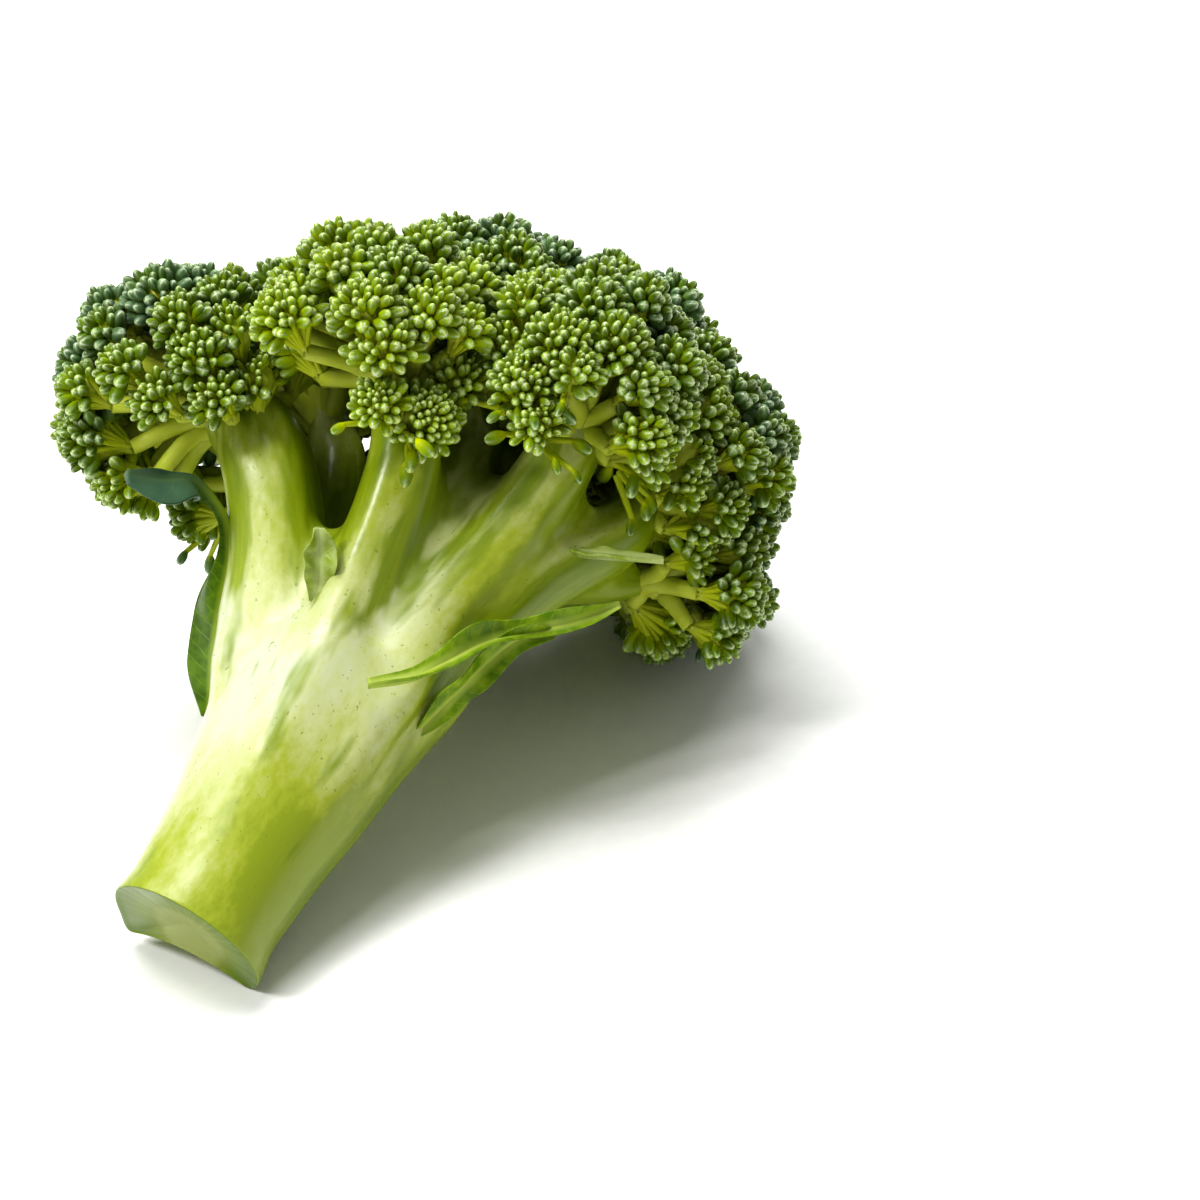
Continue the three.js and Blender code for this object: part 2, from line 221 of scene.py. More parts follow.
world = bpy.data.worlds.new("studio")
world.use_nodes = True
fill = world.node_tree.nodes["Background"]
fill.inputs["Color"].default_value = (1, 1, 1, 1)
fill.inputs["Strength"].default_value = FILL_STRENGTH
bpy.context.scene.world = world
bpy.context.scene.view_settings.view_transform = "Standard"
bpy.context.scene.view_settings.look = "Medium High Contrast"
print("lamps:", ", ".join(LAMPS))

# %% [markdown]
# ## Helpers for materials
# A colour read from a photograph or a paint card is an sRGB hex value, but Blender mixes light in linear
# numbers, so one function turns the first into the second. Another adds one node to a material, with its
# settings and links, and a third starts an empty material.

# %% Colour and node helpers
def colour(hex_value):
    parts = [int(hex_value[place:place + 2], 16) / 255 for place in (1, 3, 5)]
    linear = [part / 12.92 if part <= 0.04045 else ((part + 0.055) / 1.055) ** 2.4 for part in parts]
    return (*linear, 1.0)


def add_node(tree, kind, settings=None, links=None):
    """Adds a node. A setting is a property, a socket or a ramp's stops. A link is an output for a socket."""
    node = tree.nodes.new(kind)
    for name, value in (settings or {}).items():
        if name == "stops":
            for place, (position, stop_colour) in enumerate(value):
                stops = node.color_ramp.elements
                stop = stops[place] if place < 2 else stops.new(position)
                stop.position = position
                stop.color = stop_colour
        elif isinstance(name, int) or name in node.inputs:
            node.inputs[name].default_value = value
        else:
            setattr(node, name, value)
    for name, output in (links or {}).items():
        tree.links.new(output, node.inputs[name])
    return node


def new_material(name):
    material = bpy.data.materials.new(name)
    material.use_nodes = True
    material.node_tree.nodes.clear()
    return material, material.node_tree


print("white paper as linear numbers:", [round(part, 3) for part in colour("#f4f4f1")])

# %% [markdown]
# ## The floor
# The head lies on a plain white ground. One large square is enough, far wider than the view, so that no
# edge of it shows. Its paper is nearly even in tone, because all that it has to show is the shadow.

# %% Lay the floor
PAPER_FIBRE_MM = 4
FLOOR_SIDE = 8
FLOOR_CORNERS = [(-1, -1), (1, -1), (1, 1), (-1, 1)]


def floor_paper():
    """Matt white paper: it scatters light evenly, with only a faint change of tone from its fibres."""
    material, tree = new_material("matt_white_paper")
    place = add_node(tree, "ShaderNodeTexCoord")
    fibres = add_node(
        tree, "ShaderNodeTexNoise", {"Scale": 1 / (PAPER_FIBRE_MM * MM)},
        {"Vector": place.outputs["Object"]},
    )
    tones = [(0.3, colour("#f6f6f4")), (0.7, colour("#f9f9f7"))]
    tone = add_node(tree, "ShaderNodeValToRGB", {"stops": tones}, {"Fac": fibres.outputs["Fac"]})
    paper = add_node(
        tree, "ShaderNodeBsdfPrincipled", {"Roughness": 0.9, "IOR": 1.45},
        {"Base Color": tone.outputs["Color"]},
    )
    add_node(tree, "ShaderNodeOutputMaterial", links={"Surface": paper.outputs["BSDF"]})
    return material


floor_mesh = bpy.data.meshes.new("floor")
floor_corners = [(x * FLOOR_SIDE / 2, y * FLOOR_SIDE / 2, 0) for x, y in FLOOR_CORNERS]
floor_mesh.from_pydata(floor_corners, [], [(0, 1, 2, 3)])
floor_mesh.materials.append(floor_paper())
floor = bpy.data.objects.new("floor", floor_mesh)
bpy.context.collection.objects.link(floor)
print("floor side, m:", FLOOR_SIDE)

# %% [markdown]
# ## From numbers to meshes
# The florets hold many thousand buds, so meshes are filled from whole arrays of numbers, which is far
# quicker than adding points one by one. Named values can ride on the points, such as how far along a bud a
# point lies, and the materials read them. That keeps a pattern on its piece from every side, and in an
# exported model.

# %% Make a piece from numbers
def make_piece(name, points, triangles, materials, values=None, material_of=None):
    """A piece from points on the upright plant and triangles, with named values on its points."""
    mesh = bpy.data.meshes.new(name)
    points = to_frame(points)
    triangles = np.asarray(triangles, np.int32)
    mesh.vertices.add(len(points))
    mesh.vertices.foreach_set("co", points.astype(np.float32).ravel())
    mesh.loops.add(triangles.size)
    mesh.loops.foreach_set("vertex_index", triangles.ravel())
    mesh.polygons.add(len(triangles))
    mesh.polygons.foreach_set("loop_start", np.arange(0, triangles.size, 3, dtype=np.int32))
    for material in materials:
        mesh.materials.append(material)
    if material_of is not None:
        mesh.polygons.foreach_set("material_index", np.asarray(material_of, np.int32))
    mesh.update(calc_edges=True)
    mesh.shade_smooth()
    for label, numbers in (values or {}).items():
        numbers = np.asarray(numbers, np.float32)
        kind, field = ("FLOAT", "value") if numbers.ndim == 1 else ("FLOAT_VECTOR", "vector")
        mesh.attributes.new(label, kind, "POINT").data.foreach_set(field, numbers.ravel())
    piece = bpy.data.objects.new(name, mesh)
    bpy.context.collection.objects.link(piece)
    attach(piece, "root")
    return piece


print("one function makes every piece, and has it ride on the body root")

# %% [markdown]
# ## Tubes
# Stem, branches, bud stalks and even leaf blades are tubes: rings of points along a path, joined ring to
# ring and closed at the ends. Blender could sweep a curve, but rings made here can have any outline, and
# each point's place on the tube is known.

# %% Make tubes and join them
def ring_triangles(rows, sides):
    """Triangles between neighbouring rings of points."""
    row, side = np.meshgrid(np.arange(rows - 1), np.arange(sides), indexing="ij")
    beside = (side + 1) % sides
    a, b = row * sides + side, row * sides + beside
    c, d = (row + 1) * sides + beside, (row + 1) * sides + side
    return np.concatenate([np.stack([a, b, c], -1).reshape(-1, 3), np.stack([a, c, d], -1).reshape(-1, 3)])


def ring_points(path, shares, radius_of, sides):
    """Rings of points round a path. radius_of takes the shares and angles as grids."""
    middles, tangents = path_points(path, shares), path_tangents(path, shares)
    across = unit(np.array([1.0, 0, 0]) - tangents[:, :1] * tangents)
    front = np.cross(across, tangents)
    angles = np.linspace(0, 2 * np.pi, sides, endpoint=False)
    share_grid, angle_grid = np.meshgrid(shares, angles, indexing="ij")
    radii = radius_of(share_grid, angle_grid)[..., None]
    ways = across[:, None] * np.cos(angles)[:, None] + front[:, None] * np.sin(angles)[:, None]
    return middles[:, None] + radii * ways


def closed_tube(rings):
    """A tube from rings of points, with a point in the middle of each end."""
    rows, sides = rings.shape[:2]
    points = np.concatenate([rings.reshape(-1, 3), rings[:1].mean(1), rings[-1:].mean(1)])
    first, last = rows * sides, rows * sides + 1
    side = np.arange(sides)
    beside = (side + 1) % sides
    bottom = np.stack([np.full(sides, first), beside, side], -1)
    top = np.stack([np.full(sides, last), (rows - 1) * sides + side, (rows - 1) * sides + beside], -1)
    return points, np.concatenate([ring_triangles(rows, sides), bottom, top])


def join_meshes(parts):
    """Many (points, triangles) as one."""
    starts = np.cumsum([0] + [len(points) for points, _ in parts[:-1]])
    return (
        np.concatenate([points for points, _ in parts]),
        np.concatenate([triangles + start for (_, triangles), start in zip(parts, starts)]),
    )


sample_tube = closed_tube(np.zeros((3, 8, 3)))
print("a closed tube of 3 rings of 8 points has", len(sample_tube[1]), "triangles")

# %% [markdown]
# ## The stalk's form
# The stem is a soft oval that widens from the cut up to the fork, where the branches part. Most branches
# run straight from the stem to their floret. A few bow aside first, so they pass by way of one more point.
# A turned profile would give a stem that is round and straight, so rings along a curve are used instead, on
# the same curves as in the solid model.

# %% Sizes of the stem, branches and florets
CUT_WIDE, CUT_DEEP, TOP_RADIUS = 15.3, 14.3, 20
SHOULDER_HEIGHT = 62
TOP_ROUND_START, TOP_CLOSES = 60, 0.8
FORK_BOTTOM, FORK_TOP = 52, 100
FORK_RADII = [18, 18.5, 17.5, 14.5, 9.5, 3]
LIP, LIP_HEIGHT = 1.4, 7

BRANCH_START, BRANCH_BEND = 34, 66
START_SHARE, BEND_SHARE, BEND_REACH = 0.24, 0.42, 16
BRANCH_RADII = [0.22, 0.36, 0.33, 0.31, 0.16]
BRANCH_RIBS, BRANCH_RIB_DEPTH = 4, 0.05
DEPTH_IN_FLORET = 0.6

# Each floret: where its branch enters it, its dome's middle and radius, and how ripe its buds are.
# Some branches also pass by way of one more point, or are thicker or thinner than their dome asks for.
FLORETS = {
    "floret_left": {
        "root": (-30, -6, 104), "centre": (-52, -3, 113), "radius": 26, "ripe": 0.1,
        "thick": 1.2,
    },
    "floret_front_left": {"root": (-2, -27, 107), "centre": (-16, -36, 123), "radius": 24, "ripe": -0.55},
    "floret_top": {
        "root": (8, -2, 128), "centre": (3, -6, 152), "radius": 27, "ripe": 0.1,
        "by_way_of": (10, -13.5, 98),
    },
    "floret_front_right": {"root": (28, -25, 119), "centre": (26, -34, 134), "radius": 25, "ripe": -0.15},
    "floret_right": {
        "root": (45, -10, 118), "centre": (51, -9, 144), "radius": 25, "ripe": 0.05,
        "by_way_of": (30.5, -13, 92), "thick": 0.92,
    },
    "floret_low_right": {
        "root": (49, 3, 113), "centre": (66, 3, 126), "radius": 17, "ripe": 0.1,
        "by_way_of": (33.5, -5, 98), "thick": 0.75,
    },
    "floret_back_right": {
        "root": (42, 22, 122), "centre": (56, 34, 148), "radius": 23, "ripe": 0.2,
        "by_way_of": (28.5, 6, 96), "thick": 0.85,
    },
    "floret_back": {"root": (6, 30, 106), "centre": (6, 45, 129), "radius": 24, "ripe": 0.2},
    "floret_back_left": {"root": (-20, 14, 102), "centre": (-37, 20, 120), "radius": 21, "ripe": 0.2},
    "floret_top_right": {"root": (21, 5, 134), "centre": (32, 3, 162), "radius": 25, "ripe": 0.2},
    "floret_top_left": {"root": (-15, 14, 116), "centre": (-31, 20, 147), "radius": 22, "ripe": 0.2},
    "floret_top_back": {"root": (12, 20, 124), "centre": (11, 29, 152), "radius": 26, "ripe": 0.2},
}
print("florets:", len(FLORETS))

# %% Widths of the stem and the branches
def stem_radius(shares, angles):
    """The stem's oval, with a lip at the cut and a rounded top."""
    heights = shares * STEM_HEIGHT
    grown = np.clip(heights / SHOULDER_HEIGHT, 0, 1)
    wide = CUT_WIDE + (TOP_RADIUS - CUT_WIDE) * grown
    deep = CUT_DEEP + (TOP_RADIUS - CUT_DEEP) * grown
    oval = wide * deep / np.hypot(deep * np.cos(angles), wide * np.sin(angles))
    lip = LIP * np.clip(1 - heights / LIP_HEIGHT, 0, 1) ** 2
    top_round = 1 - TOP_CLOSES * smooth_step(TOP_ROUND_START, STEM_HEIGHT, heights)
    return oval * top_round + lip


def branch_path(floret):
    """From a low start inside the stem, out at the bend, to the floret and some way into it."""
    root, centre = np.array(floret["root"], float), np.array(floret["centre"], float)
    outward = np.array([root[0] - STEM_LEAN, root[1], 0])
    bend_share = min(BEND_SHARE, BEND_REACH / np.linalg.norm(outward))
    low = np.array([STEM_LEAN, 0, BRANCH_START]) + START_SHARE * outward
    bend = np.array([STEM_LEAN, 0, BRANCH_BEND]) + bend_share * outward
    bow = [floret["by_way_of"]] if "by_way_of" in floret else []
    return [low, bend, *bow, root, root + DEPTH_IN_FLORET * (centre - root)]


def branch_radius(floret, shares, angles=0.0):
    """A branch's radius, with shallow ribs that turn a different way on each branch."""
    places = np.linspace(0, 1, len(BRANCH_RADII))
    ribs = 1 + BRANCH_RIB_DEPTH * np.cos(BRANCH_RIBS * angles + floret["root"][0])
    return floret.get("thick", 1) * floret["radius"] * np.interp(shares, places, BRANCH_RADII) * ribs


print("thickest branch, mm:", round(2 * max(branch_radius(floret, 0.25) for floret in FLORETS.values()), 1))

# %% [markdown]
# ## One skin for stem and branches
# A real fork has no seam but a rounded web. Tubes that only pass through each other would show a sharp
# crease, and bevelling each crease by hand is slow. So the tubes are melted together by a voxel remesh. The
# skin is then swollen, melted again and shrunk back: the swelling closes each crease, and what is left is a
# rounded web.

# %% Melt the stem and branches into one skin
VOXEL = 0.9
WEB = 3.2
SMOOTHING = 10
OVERRUN = 12
STEM_RINGS, STEM_ROUND = 60, 72
BRANCH_RINGS, BRANCH_ROUND = 40, 28


def melt(points, faces):
    """Voxel remesh and smoothing, through Blender's own modifiers, on a throw-away object."""
    mesh = bpy.data.meshes.new("melting")
    mesh.from_pydata(points * MM, [], faces)
    melting = bpy.data.objects.new("melting", mesh)
    bpy.context.collection.objects.link(melting)
    remesh = melting.modifiers.new("melt", "REMESH")
    remesh.mode = "VOXEL"
    remesh.voxel_size = VOXEL * MM
    smooth = melting.modifiers.new("smooth", "SMOOTH")
    smooth.iterations = SMOOTHING
    melted = bpy.data.meshes.new_from_object(melting.evaluated_get(bpy.context.evaluated_depsgraph_get()))
    bpy.data.objects.remove(melting)
    bpy.data.meshes.remove(mesh)
    return melted


def swollen(mesh, distance):
    """A mesh's points in millimetres, moved out along their normals, and its faces."""
    points, normals = np.empty(3 * len(mesh.vertices)), np.empty(3 * len(mesh.vertices))
    mesh.vertices.foreach_get("co", points)
    mesh.vertex_normals.foreach_get("vector", normals)
    moved = (points / MM + distance * normals).reshape(-1, 3)
    return moved, [tuple(face.vertices) for face in mesh.polygons]


stem_rings = ring_points(STEM_PATH, np.linspace(0, 1, STEM_RINGS), stem_radius, STEM_ROUND)
overrun_ring = stem_rings[:1] - OVERRUN * CUT_AXIS
tubes = [closed_tube(np.concatenate([overrun_ring, stem_rings]))]
branch_shares = np.linspace(0, 1, BRANCH_RINGS)
for floret in FLORETS.values():
    rings = ring_points(
        branch_path(floret), branch_shares,
        lambda share, angle: branch_radius(floret, share, angle), BRANCH_ROUND,
    )
    tubes.append(closed_tube(rings))
fork_path = [(STEM_LEAN, 0, FORK_BOTTOM), (STEM_LEAN, 0, FORK_TOP)]
fork_places = np.linspace(0, 1, len(FORK_RADII))
fork_rings = ring_points(
    fork_path, branch_shares, lambda share, angle: np.interp(share, fork_places, FORK_RADII), STEM_ROUND
)
tubes.append(closed_tube(fork_rings))
tube_points, tube_triangles = join_meshes(tubes)
skin = melt(tube_points, tube_triangles.tolist())
skin = melt(*swollen(skin, WEB))
skin = melt(*swollen(skin, -WEB))
print("melted skin:", len(skin.polygons), "faces")

# %% [markdown]
# ## Ribs, a trimmed underside and a heel
# A stem isn't a plain oval. Under each branch a low rib runs down it. The lower side of this one was
# trimmed with a knife, which left it flat and a little hollow near the cut, with a blunt heel beside the
# flat. All three are made by moving the points of the melted skin: out along their spokes for the ribs and
# the heel, and back to a sloping plane for the trim. A boolean cut would leave hard edges, but a moved
# point can fade out softly up the stem.

# %% Say where the trim lies
TRIM_ANGLE = math.radians(-68)
TRIM_DEPTH, TRIM_SLOPE, TRIM_HOLLOW, TRIM_MIDDLE = 5.6, 0.3, 0.02, 3
TRIM_WAY = np.array([math.cos(TRIM_ANGLE), -math.sin(TRIM_ANGLE), 0])
TRIM_SIDE = np.array([-TRIM_WAY[1], TRIM_WAY[0], 0])
STEM_SAMPLES = 400

stem_middles = path_points(STEM_PATH, np.linspace(0, 1, STEM_SAMPLES))


def stem_spokes(points):
    """From the stem's axis to each point, level with the point."""
    middles = [np.interp(points[:, 2], stem_middles[:, 2], stem_middles[:, axis]) for axis in range(2)]
    return np.stack([points[:, 0] - middles[0], points[:, 1] - middles[1], 0 * points[:, 2]], -1)


def over_trim(points):
    """How far each point lies beyond the flat, slightly hollow underside."""
    spokes = stem_spokes(points)
    hollow = TRIM_HOLLOW * (spokes @ TRIM_SIDE - TRIM_MIDDLE) ** 2
    limit = TRIM_DEPTH + TRIM_SLOPE * np.maximum(points[:, 2], 0) + hollow
    return spokes @ TRIM_WAY - limit


print("the trim starts this far from the stem's axis, mm:", TRIM_DEPTH)

# %% Raise the ribs and the heel and trim the underside
STEM_RIB, STEM_RIB_SPREAD = 1.7, 0.28
STEM_RIB_FADES = (15, 48, 64, 80)
HEEL, HEEL_ANGLE, HEEL_SPREAD, HEEL_TOP = 4.0, math.radians(-123), 0.36, 11
TRIM_SOFT, TRIM_SOFTENS = 1.0, 0.08
TRIM_FADES = (25, 60)


def ridge(angles, middle, spread):
    """A smooth ridge round one angle, 1 on its crest."""
    gap = np.arctan2(np.sin(angles - middle), np.cos(angles - middle))
    return np.exp(-((gap / spread) ** 2))


points = swollen(skin, 0)[0]
spokes = stem_spokes(points)
angles = np.arctan2(-spokes[:, 1], spokes[:, 0])
ribs = np.zeros(len(points))
for node, floret in FLORETS.items():
    if "top" not in node:
        rib_angle = math.atan2(-floret["root"][1], floret["root"][0] - STEM_LEAN)
        ribs = np.maximum(ribs, ridge(angles, rib_angle, STEM_RIB_SPREAD))
fade_in, full, fade_out, gone = STEM_RIB_FADES
ribs *= smooth_step(fade_in, full, points[:, 2]) * (1 - smooth_step(fade_out, gone, points[:, 2]))
heel = ridge(angles, HEEL_ANGLE, HEEL_SPREAD) * (1 - smooth_step(0, HEEL_TOP, points[:, 2]))
swell = STEM_RIB * ribs + HEEL * heel
points = points + swell[:, None] * spokes / np.linalg.norm(spokes, axis=1, keepdims=True).clip(1)
soft = TRIM_SOFT + TRIM_SOFTENS * np.maximum(points[:, 2], 0)
trimmed = soft * np.logaddexp(0, over_trim(points) / soft)
trimmed = trimmed * (1 - smooth_step(*TRIM_FADES, points[:, 2]))
points = points - TRIM_WAY * trimmed[:, None]
skin.vertices.foreach_set("co", (points * MM).ravel())
skin.update()
print("most trimmed off the underside, mm:", round(float(trimmed.max()), 1))

# %% [markdown]
# ## The cut
# One stroke of a knife ended the stem, a little aslant, and the pith has since dried and sunk into a
# shallow dish with a rounded rim. So the skin is made too long, sliced by a plane, and closed with rings
# that step inward from the edge of the slice. Each ring lies a little deeper than the last. A value on its
# points tells the material where the cut face is.

# %% Slice the stem
CUT_SLANT, CUT_SLANT_ANGLE, CUT_EXTRA = 0.12, math.radians(50), 1.5

cut_across = unit(np.array([1.0, 0, 0]) - CUT_AXIS[0] * CUT_AXIS)
cut_front = np.cross(cut_across, CUT_AXIS)
slant_way = math.cos(CUT_SLANT_ANGLE) * cut_across + math.sin(CUT_SLANT_ANGLE) * cut_front
cut_normal = unit(CUT_AXIS + CUT_SLANT * slant_way)
sliced = bmesh.new()
sliced.from_mesh(skin)
bmesh.ops.bisect_plane(
    sliced,
    geom=sliced.verts[:] + sliced.edges[:] + sliced.faces[:],
    plane_co=(CUT_MIDDLE - CUT_EXTRA * CUT_AXIS) * MM,
    plane_no=cut_normal,
    clear_inner=True,
)
cut_layer = sliced.verts.layers.float.new("cut")
edge_points = [vertex for vertex in sliced.verts if vertex.is_boundary]
cut_heart = np.mean([np.array(vertex.co) for vertex in edge_points], axis=0)
print("points round the edge of the slice:", len(edge_points))

# %% Close the slice with a dished face
CUT_RINGS = [0.985, 0.955, 0.92, 0.87, 0.8, 0.7, 0.58, 0.45, 0.32, 0.2, 0.09]
RIM_ROUND, RIM_SHARE = 0.35, 0.05


def cut_angle(vertex):
    """How far round the edge of the slice a point lies."""
    spoke = np.array(vertex.co) - cut_heart
    return math.atan2(spoke @ cut_front, spoke @ cut_across)


outer = sorted(edge_points, key=cut_angle)
cut_spokes = [np.array(vertex.co) - cut_heart for vertex in outer]
for size in CUT_RINGS:
    depth = CUT_DISH * (1 - size) - RIM_ROUND * math.exp(-(((1 - size) / RIM_SHARE) ** 2))
    inner = [sliced.verts.new(cut_heart + size * spoke + cut_normal * depth * MM) for spoke in cut_spokes]
    for place, vertex in enumerate(inner):
        vertex[cut_layer] = 1
        following = (place + 1) % len(inner)
        sliced.faces.new((outer[place], vertex, inner[following], outer[following]))
    outer = inner
dish_middle = sliced.verts.new(cut_heart + cut_normal * CUT_DISH * MM)
dish_middle[cut_layer] = 1
for place, vertex in enumerate(outer):
    sliced.faces.new((vertex, dish_middle, outer[(place + 1) % len(outer)]))
bmesh.ops.triangulate(sliced, faces=sliced.faces[:])
bmesh.ops.recalc_face_normals(sliced, faces=sliced.faces[:])
sliced.verts.index_update()
sliced.normal_update()
skin_points = np.array([vertex.co for vertex in sliced.verts]) / MM
skin_normals = np.array([vertex.normal for vertex in sliced.verts])
skin_triangles = np.array([[vertex.index for vertex in face.verts] for face in sliced.faces])
skin_cut = np.array([vertex[cut_layer] for vertex in sliced.verts])
sliced.free()
bpy.data.meshes.remove(skin)
lowest = to_frame(skin_points)[:, 2].min() / MM
print("lowest point of the stalk above the floor, mm:", round(float(lowest), 2))

# %% [markdown]
# ## Which way the grain runs
# The skin of a stem has streaks and fibres that run along it and turn into each branch. A texture can only
# follow that if every point knows where it lies: how far round its branch and how far along. Each tube
# gives a point such a place, and the places are blended by how near the point is to each tube, so no seam
# shows where one tube ends. The side away from the light is painted greener, as painted shade, so each
# point also knows how far it faces that side.

# %% Measure the grain on the skin
GRAIN_SAMPLES = 60
GRAIN_BLEND = 1.6
SURE_WEIGHT = 0.9


def grain_tube(path, radius_of, start, offset, spread):
    """Each skin point's height above a tube's surface, and its place on the tube: across, front, along."""
    shares = np.linspace(0, 1, GRAIN_SAMPLES)
    middles, tangents = path_points(path, shares), path_tangents(path, shares)
    lengths = np.concatenate([[0], np.cumsum(np.linalg.norm(np.diff(middles, axis=0), axis=1))])
    squares = (skin_points**2).sum(1)[:, None] - 2 * skin_points @ middles.T + (middles**2).sum(1)
    nearest = squares.argmin(1)
    spokes = skin_points - middles[nearest]
    across = unit(np.array([1.0, 0, 0]) - tangents[:, :1] * tangents)[nearest]
    front = np.cross(across, tangents[nearest])
    angles = np.arctan2((spokes * front).sum(1), (spokes * across).sum(1))
    above = np.linalg.norm(spokes, axis=1) - radius_of(shares)[nearest]
    along = start + lengths[nearest] + (spokes * tangents[nearest]).sum(1)
    round_place = np.stack([np.cos(angles), np.sin(angles)], -1) * spread + offset
    return above, np.concatenate([round_place, along[:, None]], 1)


grain_tubes = [
    grain_tube(STEM_PATH, lambda shares: stem_radius(shares, np.pi / 2 + 0 * shares), 0, (0, 0), TOP_RADIUS)
]
for floret in FLORETS.values():
    path = branch_path(floret)
    offset = (path[1][0] - STEM_LEAN, -path[1][1])
    spread = branch_radius(floret, 1 / 3)
    grain_tubes.append(
        grain_tube(path, lambda shares: branch_radius(floret, shares), BRANCH_START, offset, spread)
    )
aboves, places = (np.array(column) for column in zip(*grain_tubes))
weights = np.exp(-(aboves - aboves.min(0)) / GRAIN_BLEND)
weights /= weights.sum(0)
grain = (places * weights[..., None]).sum(0)
shared = int((weights.max(0) < SURE_WEIGHT).sum())
print("skin points blended over two tubes or more:", shared, "of", len(skin_points))

# %% Measure where the skin is cut, faces away from the light, near the foot or on a branch
# The side this points to, away from the light, is painted greener: painted shade.
SHADE_SIDE = unit(np.array([0.85, 0.35, -0.35]))
PITH_EDGE, PITH_FULL = 0.97, 0.25
BARE_FROM, BARE_FULL = -0.6 * TRIM_SOFT, -0.2 * TRIM_SOFT
FOOT_LOW, FOOT_HIGH = -10, 55
BRANCH_LOW, BRANCH_HIGH = 52, 88

skin_spokes, skin_heights = stem_spokes(skin_points), skin_points[:, 2]
from_axis = np.linalg.norm(skin_spokes, axis=1) / (CUT_WIDE + LIP)
on_trim = smooth_step(BARE_FROM, BARE_FULL, over_trim(skin_points))
on_trim *= 1 - smooth_step(0, TRIM_FADES[0], skin_heights)
skin_values = {
    "grain": grain,
    "cut": np.maximum(skin_cut, on_trim),
    "pith": smooth_step(PITH_EDGE, PITH_FULL, from_axis),
    # Near the cut, reaching higher on the stem's right side, away from the light; that reach is painted
    # shade.
    "foot": 1 - smooth_step(FOOT_LOW, FOOT_HIGH, skin_heights - skin_spokes[:, 0]),
    # How far each point faces away from the light, for painted shade.
    "shaded_side": np.clip(skin_normals @ SHADE_SIDE, 0, 1),
    "on_branch": smooth_step(BRANCH_LOW, BRANCH_HIGH, skin_heights),
}
print("values on the skin:", ", ".join(skin_values))

# %% [markdown]
# ## Stem skin
# A fresh stem has a pale skin under a whitish wax bloom. Where the bloom is rubbed off or wet, a saturated
# green shows in long patches with ragged edges, most of all on the branches. The side away from the light
# is painted greener and patchier, as painted shade, and the pale wax on the lit side is partly a painted
# sheen. The skin is greener near the cut too, reaching higher up its side away from the light as painted
# shade, and small pits dot it. The cut and the trimmed flat show a dark green rind and paler pith. It could
# be painted by hand, but noise that is stretched along the grain follows every branch by itself. It is
# damp, so a coat of gloss lies over a softer sheen, and light goes a little way in, which subsurface
# scattering gives. Plant tissue is mostly water, so its IOR is near 1.4.

# %% Patterns along the grain of the stem
# Each pattern as millimetres across the grain, millimetres along it, and octaves of detail.
SKIN_PATTERNS = {
    "patch": (11, 46, 3.0),
    "broad": (20, 50, 2.0),
    "streak": (3, 26, 3.0),
    "mottle": (2.2, 3.5, 3.0),
    "pit": (0.9, 1.1, 1.0),
    "fibre": (0.7, 9, 2.0),
}


def grain_noises(tree, grain):
    """A noise for each pattern, stretched along the grain."""
    noises = {}
    for name, (wide, length, detail) in SKIN_PATTERNS.items():
        place = add_node(
            tree, "ShaderNodeMapping", {"Scale": (1 / wide, 1 / wide, 1 / length)},
            {"Vector": grain.outputs["Vector"]},
        )
        noise = add_node(
            tree, "ShaderNodeTexNoise", {"Scale": 1.0, "Detail": detail, "Roughness": 0.6},
            {"Vector": place.outputs["Vector"]},
        )
        noises[name] = noise.outputs["Fac"]
    return noises


print("patterns along the grain:", ", ".join(SKIN_PATTERNS))

# %% Colours of the waxed skin and of the cut
# How much each value on the skin adds to the share of rubbed patches, and to the green under the wax.
# The weights for the side away from the light are painted shade: that side is made greener and patchier.
SKIN_WEIGHTS = {
    "rubbed_and_shaded": {"shaded_side": 0.28, "on_branch": 0.2},
    "greened": {"shaded_side": 0.42, "foot": 0.3, "on_branch": 0.2},
}
# The pale stops, on the side facing the light, are partly the wax's own colour and partly a painted sheen.
PALE_STOPS = [
    (0.48, colour("#ccd3b4")),
    (0.7, colour("#c1c888")),
    (0.9, colour("#a1ad32")),
    (1.0, colour("#8c9c1e")),
]
GREEN_STOPS = [(0.3, colour("#90a00c")), (0.5, colour("#7c8f00")), (0.7, colour("#6a8000"))]
PITH_STOPS = [
    (0.2, colour("#5c7400")),
    (0.55, colour("#6a8000")),
    (0.8, colour("#76851e")),
    (1.0, colour("#929b52")),
]


